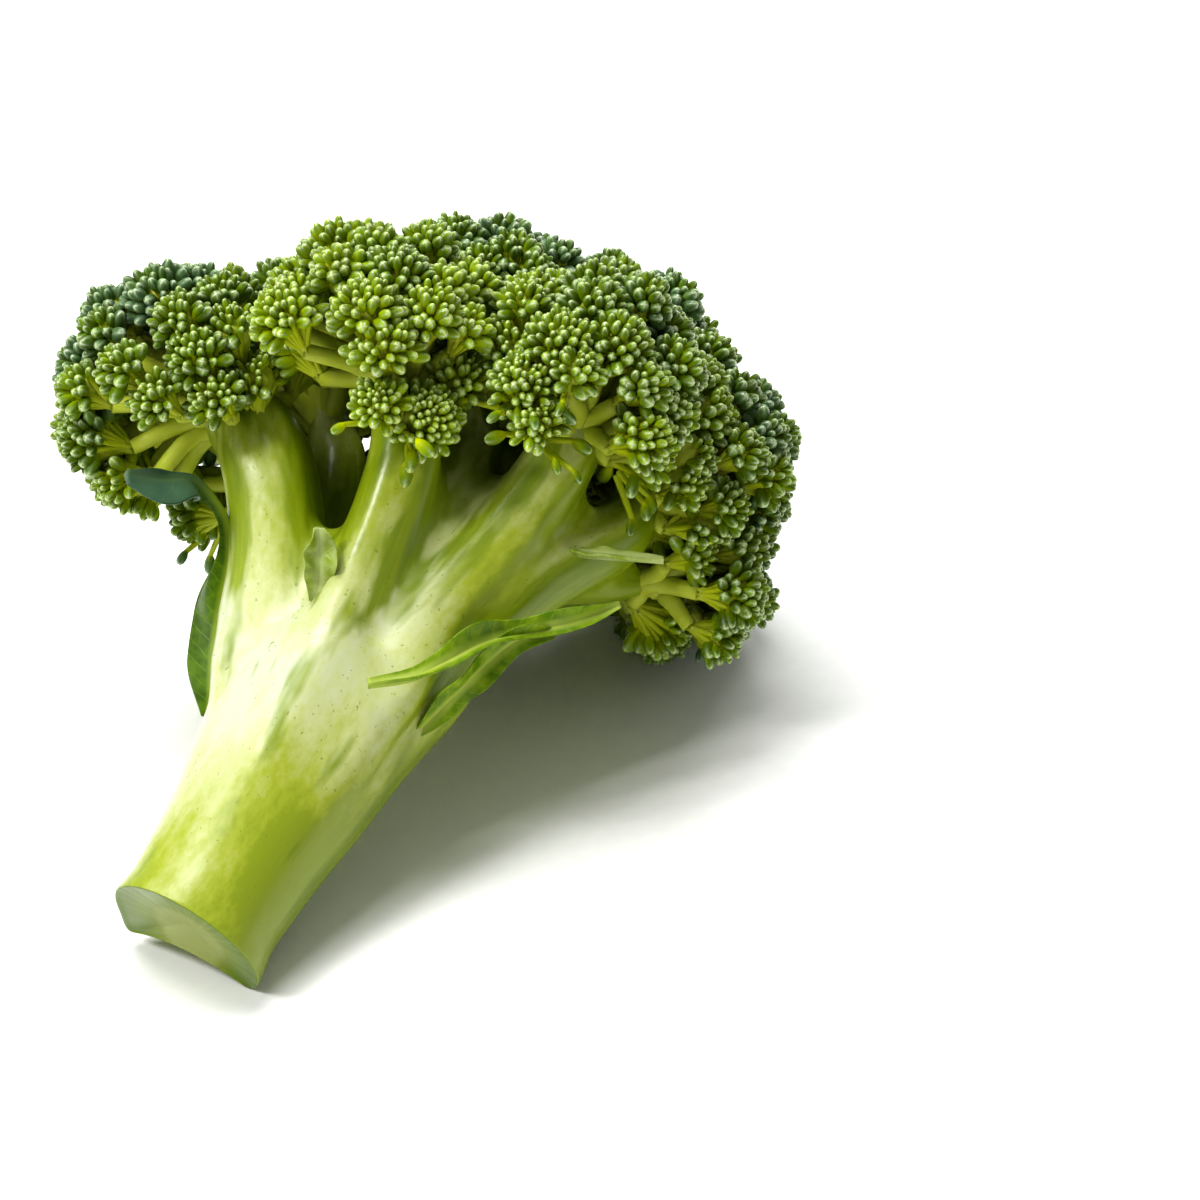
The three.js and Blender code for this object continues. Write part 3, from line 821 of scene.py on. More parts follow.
def waxed_and_shaded_colour(tree, values, noises):
    """Pale wax over green, with a saturated streaky green where the wax is gone, and painted shade: greener,
    patchier on the side away from the light.
    """
    spotted = add_node(
        tree, "ShaderNodeMath", {"operation": "MULTIPLY_ADD", 1: 0.3},
        {0: noises["mottle"], 2: noises["broad"]},
    )
    shares = {"rubbed_and_shaded": noises["patch"], "greened": spotted.outputs["Value"]}
    for share, weights in SKIN_WEIGHTS.items():
        for name, weight in weights.items():
            more = add_node(
                tree, "ShaderNodeMath", {"operation": "MULTIPLY_ADD", 1: weight},
                {0: values[name].outputs["Fac"], 2: shares[share]},
            )
            shares[share] = more.outputs["Value"]
    patches = add_node(
        tree, "ShaderNodeMapRange", {"From Min": 0.62, "From Max": 0.71, "To Max": 0.9},
        {"Value": shares["rubbed_and_shaded"]},
    )
    pale = add_node(tree, "ShaderNodeValToRGB", {"stops": PALE_STOPS}, {"Fac": shares["greened"]})
    green = add_node(tree, "ShaderNodeValToRGB", {"stops": GREEN_STOPS}, {"Fac": noises["streak"]})
    waxed = add_node(
        tree, "ShaderNodeMix", {"data_type": "RGBA"},
        {0: patches.outputs["Result"], 6: pale.outputs["Color"], 7: green.outputs["Color"]},
    )
    return waxed.outputs[2]


def pith_colour(tree, values, noises):
    """Dark green rind at the edge of the cut, and paler fibrous pith in its middle."""
    share = add_node(
        tree, "ShaderNodeMath", {"operation": "MULTIPLY_ADD", 1: 0.25},
        {0: noises["fibre"], 2: values["pith"].outputs["Fac"]},
    )
    pith = add_node(tree, "ShaderNodeValToRGB", {"stops": PITH_STOPS}, {"Fac": share.outputs["Value"]})
    return pith.outputs["Color"]


print("colour stops of the skin and the cut:", len(PALE_STOPS + GREEN_STOPS + PITH_STOPS))

# %% Material of the stem
def stem_skin():
    """Pale waxed skin with a soft sheen, its pale partly a painted sheen; green where the wax is gone and as
    painted shade; wet pith at the cut.
    """
    material, tree = new_material("fresh_stem_skin")
    values = {name: add_node(tree, "ShaderNodeAttribute", {"attribute_name": name}) for name in skin_values}
    noises = grain_noises(tree, values["grain"])
    pits = add_node(
        tree, "ShaderNodeMapRange", {"From Min": 0.7, "From Max": 0.76, "To Max": 0.6},
        {"Value": noises["pit"]},
    )
    pitted = add_node(
        tree, "ShaderNodeMix", {"data_type": "RGBA", 7: colour("#71851c")},
        {0: pits.outputs["Result"], 6: waxed_and_shaded_colour(tree, values, noises)},
    )
    base = add_node(
        tree, "ShaderNodeMix", {"data_type": "RGBA"},
        {0: values["cut"].outputs["Fac"], 6: pitted.outputs[2], 7: pith_colour(tree, values, noises)},
    )
    gloss = add_node(
        tree, "ShaderNodeMapRange", {"From Min": 0.3, "From Max": 0.7, "To Min": 0.28, "To Max": 0.5},
        {"Value": noises["mottle"]},
    )
    fibre_bump = add_node(
        tree, "ShaderNodeBump", {"Strength": 0.12, "Distance": 0.3 * MM}, {"Height": noises["fibre"]}
    )
    pit_bump = add_node(
        tree, "ShaderNodeBump", {"Strength": 0.4, "Distance": 0.25 * MM, "invert": True},
        {"Height": pits.outputs["Result"], "Normal": fibre_bump.outputs["Normal"]},
    )
    shader = add_node(
        tree, "ShaderNodeBsdfPrincipled",
        {
            "IOR": 1.4, "Specular IOR Level": 0.4, "Subsurface Weight": 0.15,
            "Subsurface Radius": (1.0, 1.0, 0.3), "Subsurface Scale": 2 * MM,
            "Coat Weight": 0.4, "Coat Roughness": 0.22,
        },
        {
            "Base Color": base.outputs[2], "Roughness": gloss.outputs["Result"],
            "Normal": pit_bump.outputs["Normal"],
        },
    )
    add_node(tree, "ShaderNodeOutputMaterial", links={"Surface": shader.outputs["BSDF"]})
    return material


stalk = make_piece("stalk_skin", skin_points, skin_triangles, [stem_skin()], skin_values)
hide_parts("stalk")
print("stalk:", len(skin_triangles), "triangles")

# %% [markdown]
# ## One bud
# A flower bud is a small drop, narrow at its stalk and blunt at its tip, closed by four sepals whose pale
# edges meet in a cross at the tip. A shallow seam between each pair of sepals makes its rings slightly
# four-sided. It could be sculpted finely, but it is placed thousands of times, so it is drawn once and has
# only the rings it needs.

# %% Draw the bud once
BUD_WIDE, BUD_LONG = 2.6, 4.1
BUD_PROFILE = [(0.0, 0.28), (0.14, 0.62), (0.36, 0.92), (0.6, 1.0), (0.82, 0.84), (0.95, 0.5)]
BUD_ROUND = 8
SEPALS, SEPAL_SEAM = 4, 0.15

bud_angles = np.linspace(0, 2 * np.pi, BUD_ROUND, endpoint=False)
seam_share = (1 - np.cos(SEPALS * bud_angles)) / 2
bud_rings = []
for rise, wide in BUD_PROFILE:
    radii = wide * (1 - SEPAL_SEAM * rise * seam_share) * BUD_WIDE / 2
    level = np.full(BUD_ROUND, rise * BUD_LONG)
    bud_rings.append(np.stack([np.cos(bud_angles) * radii, np.sin(bud_angles) * radii, level], -1))
BUD_POINTS = np.concatenate([*bud_rings, [[0, 0, BUD_LONG]]])
last_ring = (len(BUD_PROFILE) - 1) * BUD_ROUND
around = np.arange(BUD_ROUND)
tip_fan = np.stack(
    [last_ring + around, last_ring + (around + 1) % BUD_ROUND, np.full(BUD_ROUND, len(BUD_POINTS) - 1)], -1
)
BUD_TRIANGLES = np.concatenate([ring_triangles(len(BUD_PROFILE), BUD_ROUND), tip_fan])
BUD_RISE = BUD_POINTS[:, 2] / BUD_LONG
# How pale each point is painted along the sepal edges, fullest at the tip: partly their own colour, partly a
# painted highlight.
BUD_SEAM_AND_GLINT = np.append(np.tile(seam_share, len(BUD_PROFILE)), 1.0) * BUD_RISE**2
print("one bud:", len(BUD_TRIANGLES), "triangles")

# %% [markdown]
# ## Where the buds sit
# A floret is a dome of small heads, each as big as a fingertip. They could be scattered on the solid's
# faces, but that leaves clumps and bare spots. Here they are spread evenly in direction, and a ray from the
# middle of the dome finds how far out the solid's surface lies. Only the part of the solid that is in the
# open gets small heads. Each points away from the place where its branch splits, so those at the rim look
# outward and down.

# %% Place the small heads of a floret
HEAD_SPACING = 13
HEAD_RADIUS = (6.8, 9.2)
LOWEST_HEAD = -0.45
LOW_HEAD, LOW_HEAD_SHARE = 0.15, 0.65
LEAN_TO_AXIS = 0.45
SPLIT_SHARE = 0.25
REACH_SHARE = 0.94
OPEN_REACH, FLOOR_REACH, FLOOR_MM = 0.8, 0.5, 1
HEAD_JITTER = 0.25
CROWN_FOCUS = np.array([0, 0, 82.0])
GOLDEN_TURN = math.pi * (3 - math.sqrt(5))
SEED = 7


def spread_directions(count, random, jitter):
    """Directions spread evenly over a ball, each moved a little."""
    order = np.arange(count)
    level = 1 - (2 * order + 1) / count
    ring = np.sqrt(1 - level**2)
    angle = order * GOLDEN_TURN
    even = np.stack([ring * np.cos(angle), ring * np.sin(angle), level], -1)
    step = math.sqrt(4 * math.pi / count)
    return unit(even + random.uniform(-jitter * step, jitter * step, (count, 3)))


def solid_reach(node, centre, directions):
    """How far from the centre the solid floret's surface lies in each direction."""
    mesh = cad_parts[node].data
    mesh.calc_loop_triangles()
    corners = [tuple(triangle.vertices) for triangle in mesh.loop_triangles]
    tree = BVHTree.FromPolygons([Vector(point) for point in to_plant(node_points(node))], corners)
    reaches = []
    for direction in directions:
        hit = tree.ray_cast(Vector(centre), Vector(direction))
        reaches.append(hit[3] if hit[0] is not None else 0.0)
    return np.array(reaches)


def small_heads(node, random):
    """Middle, direction, radius and lowness of each of a floret's small heads."""
    floret = FLORETS[node]
    root, centre = np.array(floret["root"], float), np.array(floret["centre"], float)
    radius = floret["radius"]
    axis = unit(centre - CROWN_FOCUS)
    count = round(4 * math.pi * radius**2 / (math.sqrt(3) / 2 * HEAD_SPACING**2))
    directions = spread_directions(count, random, HEAD_JITTER)
    reach = solid_reach(node, centre, directions)
    heights = to_frame(centre + directions * reach[:, None])[:, 2]
    on_floor = (heights < FLOOR_MM * MM) & (reach > FLOOR_REACH * radius)
    tops = centre + directions * (reach * np.where(on_floor, 1, REACH_SHARE))[:, None]
    rises = directions @ axis
    keep = ((reach > OPEN_REACH * radius) | on_floor) & (rises > LOWEST_HEAD)
    keep &= (rises > LOW_HEAD) | (random.random(count) < LOW_HEAD_SHARE)
    tops, rises = tops[keep], rises[keep]
    ways = unit(unit(tops - (root + SPLIT_SHARE * (centre - root))) + LEAN_TO_AXIS * axis)
    sizes = random.uniform(*HEAD_RADIUS, len(tops))
    return tops - ways * sizes[:, None], ways, sizes, rises


for node in ("floret_left", "floret_low_right"):
    print(node, "has", len(small_heads(node, np.random.default_rng(SEED))[0]), "small heads")

# %% [markdown]
# ## The buds of a small head
# In a small head the stalks of the buds spring from one point and open like an umbrella, with the youngest
# and smallest buds in its middle. Real buds grow on a spiral that turns by the golden angle from each to
# the next, so the same rule is used here, with a little disorder in place, aim and size. A bud that would
# sit inside another small head, another floret or a branch is left out.

# %% Place the buds of a small head
BUD_SPREAD = math.radians(105)
SLANT_STEPS = 200
YOUNGEST, YOUNG_RISES = (0.5, 0.78), (-0.3, 0.7)
OLDEST = 1.22
BUD_CROWDING = 0.97
BUD_BELLY = 0.4
SLANT_DISORDER, TURN_DISORDER, AIM_DISORDER = 0.03, 0.05, 0.13
SIZE_RANGE, DEPTH_RANGE = (0.74, 1.18), (0.92, 1.05)
AIM_INWARD = 0.2


def side_ways(ways):
    """Two directions square to each given one."""
    helper = np.where(np.abs(ways[..., 2:]) < 0.9, [0.0, 0, 1], [1.0, 0, 0])
    first = unit(np.cross(helper, ways))
    return first, np.cross(ways, first)


def umbel(middle, way, radius, rise, random):
    """Feet, aims and sizes of one small head's buds, on the spiral that real buds follow."""
    slants = np.linspace(0.001, BUD_SPREAD, SLANT_STEPS)
    youngest = np.interp(rise, YOUNG_RISES, YOUNGEST)
    growth = youngest + (OLDEST - youngest) * slants / BUD_SPREAD
    belly = radius - BUD_BELLY * BUD_LONG * growth
    bud_area = math.sqrt(3) / 2 * (BUD_CROWDING * BUD_WIDE * growth) ** 2
    per_step = np.sin(slants) * 2 * np.pi * belly**2 / bud_area
    counts = np.cumsum(per_step) * (slants[1] - slants[0])
    order = np.arange(int(counts[-1]))
    slant = np.interp(order + 0.5, counts, slants) + random.normal(0, SLANT_DISORDER, len(order))
    turn = order * GOLDEN_TURN + random.uniform(0, 6) + random.normal(0, TURN_DISORDER, len(order))
    sizes = np.interp(slant, slants, growth) * random.uniform(*SIZE_RANGE, len(order))
    first, second = side_ways(way)
    spokes = first * np.cos(turn)[:, None] + second * np.sin(turn)[:, None]
    outward = way * np.cos(slant)[:, None] + spokes * np.sin(slant)[:, None]
    depths = radius * random.uniform(*DEPTH_RANGE, len(order)) - BUD_LONG * sizes
    feet = middle + outward * depths[:, None]
    aims = unit(outward + AIM_INWARD * way + random.normal(0, AIM_DISORDER, (len(order), 3)))
    return feet, aims, sizes, slant


sample_umbel = umbel(np.zeros(3), np.array([0, 0, 1.0]), 8, 0, np.random.default_rng(SEED))
print("buds on a small head of 8 mm:", len(sample_umbel[0]))

# %% Leave out the buds that sit inside something else
BRANCH_SAMPLES = 50
BELLY_PLACE, BELLY_DEPTH = 0.55, 0.45
SHARED_EDGE = 40
BRANCH_CLEAR = 0.5

floret_centres = np.array([floret["centre"] for floret in FLORETS.values()], float)
floret_radii = np.array([floret["radius"] for floret in FLORETS.values()], float)
sample_shares = np.linspace(0, 1, BRANCH_SAMPLES)
branch_samples = np.concatenate([path_points(branch_path(f), sample_shares) for f in FLORETS.values()])
branch_sample_radii = np.concatenate([branch_radius(f, sample_shares) for f in FLORETS.values()])


def in_the_open(order, feet, aims, sizes, owners, middles, radii):
    """Which buds lie outside the other small heads, the other florets and the branches."""
    bellies = feet + aims * (BELLY_PLACE * BUD_LONG * sizes)[:, None]
    gaps = np.linalg.norm(bellies[:, None] - middles[None], axis=2) - (radii - BELLY_DEPTH * BUD_LONG)
    gaps[np.arange(len(feet)), owners] = 1
    powers = ((bellies[:, None] - floret_centres[None]) ** 2).sum(2) - floret_radii**2
    own = powers[:, order] - SHARED_EDGE <= powers.min(1)
    clear = np.linalg.norm(bellies[:, None] - branch_samples[None], axis=2) - branch_sample_radii
    return (gaps > 0).all(1) & own & (clear.min(1) > BRANCH_CLEAR)


print("points on the branches that buds keep clear of:", len(branch_samples))

# %% [markdown]
# ## Many copies of one shape
# Thousands of objects would slow Blender down, and instances would have to be made real for the exported
# model. So one shape's points are turned, scaled and moved to all their places in one sum, and become one
# mesh. The same sum places buds, their stalks and the ribbed bundle of stalks that fills each small head.

# %% Copy shapes to many places
ROD_ROUND = 5


def place_copies(shape, feet, aims, sizes, spins):
    """Points of a shape copied to each foot, with its Z along each aim."""
    first, second = side_ways(aims)
    turned_first = first * np.cos(spins)[:, None] + second * np.sin(spins)[:, None]
    turned_second = np.cross(aims, turned_first)
    local = shape[None] * sizes[:, None]
    return (
        feet[:, None]
        + local[..., :1] * turned_first[:, None]
        + local[..., 1:2] * turned_second[:, None]
        + local[..., 2:] * aims[:, None]
    )


def copied_triangles(triangles, point_count, copies):
    """A shape's triangles, repeated for each copy of its points."""
    return (triangles[None] + np.arange(copies)[:, None, None] * point_count).reshape(-1, 3)


def rods(starts, ends, start_radius, end_radius):
    """Many open tapered rods at once."""
    aims = unit(ends - starts)
    angles = np.linspace(0, 2 * np.pi, ROD_ROUND, endpoint=False)
    circle = np.stack([np.cos(angles), np.sin(angles), np.zeros(ROD_ROUND)], -1)
    rings = []
    for middles, radius in ((starts, start_radius), (ends, end_radius)):
        sizes = np.tile([radius, radius, 1.0], (len(starts), 1))
        rings.append(place_copies(circle, middles, aims, sizes, np.zeros(len(starts))))
    points = np.concatenate(rings, 1).reshape(-1, 3)
    return points, copied_triangles(ring_triangles(2, ROD_ROUND), 2 * ROD_ROUND, len(starts))


print("one rod:", len(ring_triangles(2, ROD_ROUND)), "triangles")

# %% Draw the bundle of stalks inside a small head
# Each ring as an angle from the head's direction, in degrees, and a share of the head's radius.
BUNDLE = [(3, 0.66), (25, 0.62), (50, 0.55), (75, 0.48), (100, 0.4), (125, 0.36), (150, 0.45), (170, 0.75)]
BUNDLE_ROUND, BUNDLE_RIDGES, RIDGE_DEPTH = 18, 6, 0.12
bundle_rings = []
for slant, share in BUNDLE:
    angles = np.linspace(0, 2 * np.pi, BUNDLE_ROUND, endpoint=False)
    radii = share * (1 + RIDGE_DEPTH * np.cos(BUNDLE_RIDGES * angles))
    out, level = radii * math.sin(math.radians(slant)), radii * math.cos(math.radians(slant))
    bundle_rings.append(np.stack([out * np.cos(angles), -out * np.sin(angles), level], -1))
BUNDLE_POINTS, BUNDLE_TRIANGLES = closed_tube(np.array(bundle_rings))
print("one bundle of stalks:", len(BUNDLE_TRIANGLES), "triangles")

# %% [markdown]
# ## Bud and bud-stalk colours
# Young buds low on a floret are yellow-green. Ripe buds at the top are a dull green under a bluish wax
# bloom. Every bud is yellower at its foot and pale along the edges of its sepals, partly their own colour
# and partly a painted highlight, and its very tip is painted pale as a painted highlight. No two have quite
# the same tone. One material serves all buds, because each point carries how far up its bud it lies, how
# ripe the bud is, its tone and how near a seam is. Wax and damp give a small glint on each tip. The stalks
# hold little wax and are a translucent yellow-green.

# %% Colours of the buds
# From the foot of a bud to its tip. The pale last stop is a painted highlight on the tip.
YOUNG_STOPS = [
    (0.0, colour("#d6da18")),
    (0.35, colour("#aabb00")),
    (0.84, colour("#7a9600")),
    (1.0, colour("#b4c65a")),
]
RIPE_STOPS = [
    (0.0, colour("#b0bc10")),
    (0.35, colour("#5f7c04")),
    (0.84, colour("#395a08")),
    (1.0, colour("#86a064")),
]


def bud_colour(tree, values):
    """From young to ripe, in each bud's own tone, with bloom on the ripest, pale thin sepal edges that are
    partly a painted highlight, and a painted highlight on the tip.
    """
    young = add_node(tree, "ShaderNodeValToRGB", {"stops": YOUNG_STOPS}, {"Fac": values["rise"]})
    old = add_node(tree, "ShaderNodeValToRGB", {"stops": RIPE_STOPS}, {"Fac": values["rise"]})
    aged = add_node(
        tree, "ShaderNodeMix", {"data_type": "RGBA"},
        {0: values["ripe"], 6: young.outputs["Color"], 7: old.outputs["Color"]},
    )
    lightness = add_node(
        tree, "ShaderNodeMapRange", {"To Min": 0.66, "To Max": 1.14}, {"Value": values["tone"]}
    )
    toned = add_node(
        tree, "ShaderNodeHueSaturation", {"Saturation": 1.2},
        {"Value": lightness.outputs["Result"], "Color": aged.outputs[2]},
    )
    bloom = add_node(
        tree, "ShaderNodeMapRange", {"From Min": 0.8, "From Max": 1.2, "To Max": 0.5},
        {"Value": values["ripe"]},
    )
    bloomed = add_node(
        tree, "ShaderNodeMix", {"data_type": "RGBA", 7: colour("#74917a")},
        {0: bloom.outputs["Result"], 6: toned.outputs["Color"]},
    )
    thin_seam = add_node(tree, "ShaderNodeMath", {"operation": "POWER", 1: 2.5}, {0: values["seam_and_glint"]})
    seam_share = add_node(
        tree, "ShaderNodeMath", {"operation": "MULTIPLY", 1: 0.8}, {0: thin_seam.outputs["Value"]}
    )
    # The near-white edges and tip: partly the sepals' own pale colour, partly a painted highlight.
    edged_and_glinted = add_node(
        tree, "ShaderNodeMix", {"data_type": "RGBA", 7: colour("#dfe8cc")},
        {0: seam_share.outputs["Value"], 6: bloomed.outputs[2]},
    )
    return edged_and_glinted.outputs[2]


print("colour stops of young and ripe buds:", len(YOUNG_STOPS + RIPE_STOPS))

# %% Material of the buds
# Real wax grains are too fine to show, so these are drawn about a fifth of a bud wide.
WAX_GRAIN_MM = 0.5


def flower_buds():
    """Waxed sepals: dull and soft on the body, pale thin edges partly a painted highlight, a wet glint on
    the tip.
    """
    material, tree = new_material("waxy_flower_buds")
    values = {}
    for name in ("rise", "ripe", "tone", "seam_and_glint"):
        values[name] = add_node(tree, "ShaderNodeAttribute", {"attribute_name": name}).outputs["Fac"]
    tip_gloss = add_node(
        tree, "ShaderNodeMapRange", {"From Min": 0.75, "From Max": 0.95, "To Min": 0.0, "To Max": 0.9},
        {"Value": values["rise"]},
    )
    place = add_node(tree, "ShaderNodeTexCoord")
    wax = add_node(
        tree, "ShaderNodeTexNoise", {"Scale": 1 / (WAX_GRAIN_MM * MM), "Detail": 2.0},
        {"Vector": place.outputs["Object"]},
    )
    gloss = add_node(
        tree, "ShaderNodeMapRange", {"From Min": 0.3, "From Max": 0.7, "To Min": 0.24, "To Max": 0.4},
        {"Value": wax.outputs["Fac"]},
    )
    bump = add_node(
        tree, "ShaderNodeBump", {"Strength": 0.2, "Distance": 0.1 * MM}, {"Height": wax.outputs["Fac"]}
    )
    shader = add_node(
        tree, "ShaderNodeBsdfPrincipled",
        {
            "IOR": 1.42, "Specular IOR Level": 0.14, "Subsurface Weight": 0.2,
            "Subsurface Radius": (0.7, 1.0, 0.2), "Subsurface Scale": 0.8 * MM, "Coat Roughness": 0.12,
        },
        {
            "Base Color": bud_colour(tree, values), "Roughness": gloss.outputs["Result"],
            "Coat Weight": tip_gloss.outputs["Result"], "Normal": bump.outputs["Normal"],
        },
    )
    add_node(tree, "ShaderNodeOutputMaterial", links={"Surface": shader.outputs["BSDF"]})
    return material


BUDS = flower_buds()
print("material:", BUDS.name)

# %% Material of the bud stalks
STALK_MOTTLE_MM = 4


def bud_stalks():
    """Smooth, almost bare plant tissue: a soft sheen, with light that goes in and makes it glow yellow."""
    material, tree = new_material("bud_stalk_tissue")
    rise = add_node(tree, "ShaderNodeAttribute", {"attribute_name": "rise"})
    place = add_node(tree, "ShaderNodeTexCoord")
    mottle = add_node(
        tree, "ShaderNodeTexNoise", {"Scale": 1 / (STALK_MOTTLE_MM * MM), "Detail": 3.0},
        {"Vector": place.outputs["Object"]},
    )
    shift = add_node(
        tree, "ShaderNodeMath", {"operation": "MULTIPLY_ADD", 1: 0.4},
        {0: mottle.outputs["Fac"], 2: rise.outputs["Fac"]},
    )
    stops = [(0.2, colour("#c0c95e")), (0.55, colour("#b0bb22")), (0.95, colour("#9cab04"))]
    tint = add_node(tree, "ShaderNodeValToRGB", {"stops": stops}, {"Fac": shift.outputs["Value"]})
    shader = add_node(
        tree, "ShaderNodeBsdfPrincipled",
        {
            "IOR": 1.4, "Specular IOR Level": 0.3, "Roughness": 0.4, "Subsurface Weight": 0.15,
            "Subsurface Radius": (0.8, 1.0, 0.25), "Subsurface Scale": 1.2 * MM,
        },
        {"Base Color": tint.outputs["Color"]},
    )
    add_node(tree, "ShaderNodeOutputMaterial", links={"Surface": shader.outputs["BSDF"]})
    return material


BUD_STALKS = bud_stalks()
print("material:", BUD_STALKS.name)

# %% [markdown]
# ## Putting a floret together
# A branch splits inside its floret into side branches, one to each small head, and there into a fan of bud
# stalks. From below both show, so they are built too, and not only the buds. Some buds at the lower rim
# hang loose on longer stalks. A bud that would sink into the floor is lifted onto it, as it is when the
# head lies on a table. Each floret has its own seed, so it comes out the same each time and unlike its
# neighbours.

# %% Draw a side branch
FAN_RADII = (2.6, 1.7)
FAN_STEPS, FAN_ROUND = 7, 8
FAN_BEND, FAN_ALONG_AXIS = 0.45, 0.5


def fan_tube(start, end, axis):
    """A side branch that leaves along the floret's axis and bends out to a small head."""
    reach = np.linalg.norm(end - start)
    bend = start + FAN_BEND * reach * unit(FAN_ALONG_AXIS * axis + unit(end - start))
    shares = np.linspace(0, 1, FAN_STEPS)
    rings = ring_points(
        [start, bend, end], shares, lambda share, angle: np.interp(share, [0, 1], FAN_RADII), FAN_ROUND
    )
    return closed_tube(rings)


print("a side branch is", " to ".join(str(2 * radius) for radius in FAN_RADII), "mm thick")

# %% Gather the buds of a floret
LOOSE_SHARE = {"floret_front_right": 0.5, "floret_front_left": 0.12}
FEW_LOOSE = 0.05
LOOSE_SLANT, LOOSE_RISE = 1.4, 0.15
LOOSE_DROOP, LOOSE_REACH = 0.5, (2.5, 9.0)


def floret_buds(order, node, heads, axis, random):
    """Feet, aims, sizes, slants and small heads of a floret's buds, and which of them hang loose."""
    middles, ways, radii, rises = heads
    umbels = [umbel(*head, random) for head in zip(middles, ways, radii, rises)]
    owners = np.repeat(np.arange(len(umbels)), [len(made[0]) for made in umbels])
    feet, aims, sizes, slants = (np.concatenate(column) for column in zip(*umbels))
    keep = in_the_open(order, feet, aims, sizes, owners, middles, radii)
    feet, aims, sizes, slants, owners = feet[keep], aims[keep], sizes[keep], slants[keep], owners[keep]
    low_rim = (slants > LOOSE_SLANT) & (rises[owners] < LOOSE_RISE)
    loose = low_rim & (random.random(len(feet)) < LOOSE_SHARE.get(node, FEW_LOOSE))
    aims = np.where(loose[:, None], unit(aims - LOOSE_DROOP * axis), aims)
    feet = feet + aims * (loose * random.uniform(*LOOSE_REACH, len(feet)))[:, None]
    return feet, aims, sizes, slants, owners, loose


print("florets with many loose buds:", ", ".join(LOOSE_SHARE))

# %% Build every floret
STALK_THICK = (0.8, 0.6)
STALK_START, STALK_SINKS = 0.25, 0.4
STALKED_SLANT = 0.6
SPRING_SHARE = 0.75
BUD_WIDTHS, BUD_LENGTHS = (0.82, 1.04), (0.88, 1.18)
RIPE_START, RIPE_OUTWARD, RIPE_SLANT, RIPE_LOOSE = 0.45, 0.5, 0.5, 0.4
RIPE_DISORDER, RIPEST = 0.1, 1.2
BUNDLE_RISE, ROD_RISES = 0.2, (0.3, 0.6)


def build_floret(order, node):
    """Buds, bud stalks and side branches of one floret, as one piece."""
    floret = FLORETS[node]
    random = np.random.default_rng(SEED + order)
    root, centre = np.array(floret["root"], float), np.array(floret["centre"], float)
    axis = unit(centre - CROWN_FOCUS)
    heads = small_heads(node, random)
    middles, ways, radii, _ = heads
    feet, aims, sizes, slants, owners, loose = floret_buds(order, node, heads, axis, random)

    widths = random.uniform(*BUD_WIDTHS, len(feet))
    lengths = random.uniform(*BUD_LENGTHS, len(feet))
    bud_sizes = sizes[:, None] * np.stack([widths, widths, lengths], -1)
    bud_points = place_copies(BUD_POINTS, feet, aims, bud_sizes, random.uniform(0, 2 * np.pi, len(feet)))
    sunk = np.minimum(to_frame(bud_points)[..., 2].min(1) / MM, 0)
    bud_points = bud_points - sunk[:, None, None] * UP
    feet = feet - sunk[:, None] * UP

    outward = unit(feet - centre) @ axis
    head_ripe = random.normal(0, RIPE_DISORDER, len(middles))[owners]
    ripe = RIPE_START + RIPE_OUTWARD * outward + floret["ripe"] + head_ripe
    ripe = ripe + RIPE_SLANT * (slants / BUD_SPREAD - 0.5)
    ripe = np.clip(ripe + RIPE_LOOSE * loose, 0, RIPEST)

    springs = middles - SPRING_SHARE * ways * radii[:, None]
    stalked = slants > STALKED_SLANT
    spring = springs[owners[stalked]]
    rod_starts = spring + STALK_START * (feet[stalked] - spring)
    rod_ends = feet[stalked] + STALK_SINKS * aims[stalked]
    rod_points, rod_triangles = rods(rod_starts, rod_ends, *STALK_THICK)
    spins = random.uniform(0, 2 * np.pi, len(middles))
    bundles = place_copies(BUNDLE_POINTS, middles, ways, np.stack([radii] * 3, -1), spins)
    split = root + SPLIT_SHARE * (centre - root)
    fans = [fan_tube(split, spring, axis) for spring in springs]

    parts = [
        (bud_points.reshape(-1, 3), copied_triangles(BUD_TRIANGLES, len(BUD_POINTS), len(feet))),
        (rod_points, rod_triangles),
        (bundles.reshape(-1, 3), copied_triangles(BUNDLE_TRIANGLES, len(BUNDLE_POINTS), len(middles))),
        *fans,
    ]
    points, triangles = join_meshes(parts)
    bud_count = len(feet) * len(BUD_POINTS)
    rest = len(points) - bud_count
    rod_rise = np.tile(np.repeat(ROD_RISES, ROD_ROUND), stalked.sum())
    bundle_rise = np.full(rest - len(rod_rise), BUNDLE_RISE)
    values = {
        "rise": np.concatenate([np.tile(BUD_RISE, len(feet)), rod_rise, bundle_rise]),
        "seam_and_glint": np.concatenate([np.tile(BUD_SEAM_AND_GLINT, len(feet)), np.zeros(rest)]),
        "ripe": np.concatenate([np.repeat(ripe, len(BUD_POINTS)), np.zeros(rest)]),
        "tone": np.concatenate([np.repeat(random.random(len(feet)), len(BUD_POINTS)), np.full(rest, 0.5)]),
    }
    material_of = np.ones(len(triangles), int)
    material_of[:len(feet) * len(BUD_TRIANGLES)] = 0
    name = node.replace("floret", "buds")
    piece = make_piece(name, points, triangles, [BUDS, BUD_STALKS], values, material_of)
    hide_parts(node)
    print(f"{piece.name}: {len(middles)} small heads, {len(feet)} buds, {len(triangles)} triangles")


for order, node in enumerate(FLORETS):
    build_floret(order, node)

# %% [markdown]
# ## Leaves
# The few leaves left on the stem are narrow, folded along the midrib and waved at the edges. The left one
# runs up the side of the stem and ends in a small blade with a blue-green bloom. The right one has two arms
# that meet. A plane with modifiers could be bent into shape, but it is hard to keep on a curved stem. So
# each blade is a sheet of points along and across its own midrib, doubled to give it a thickness that thins
# out towards the edge, with a raised midrib below.

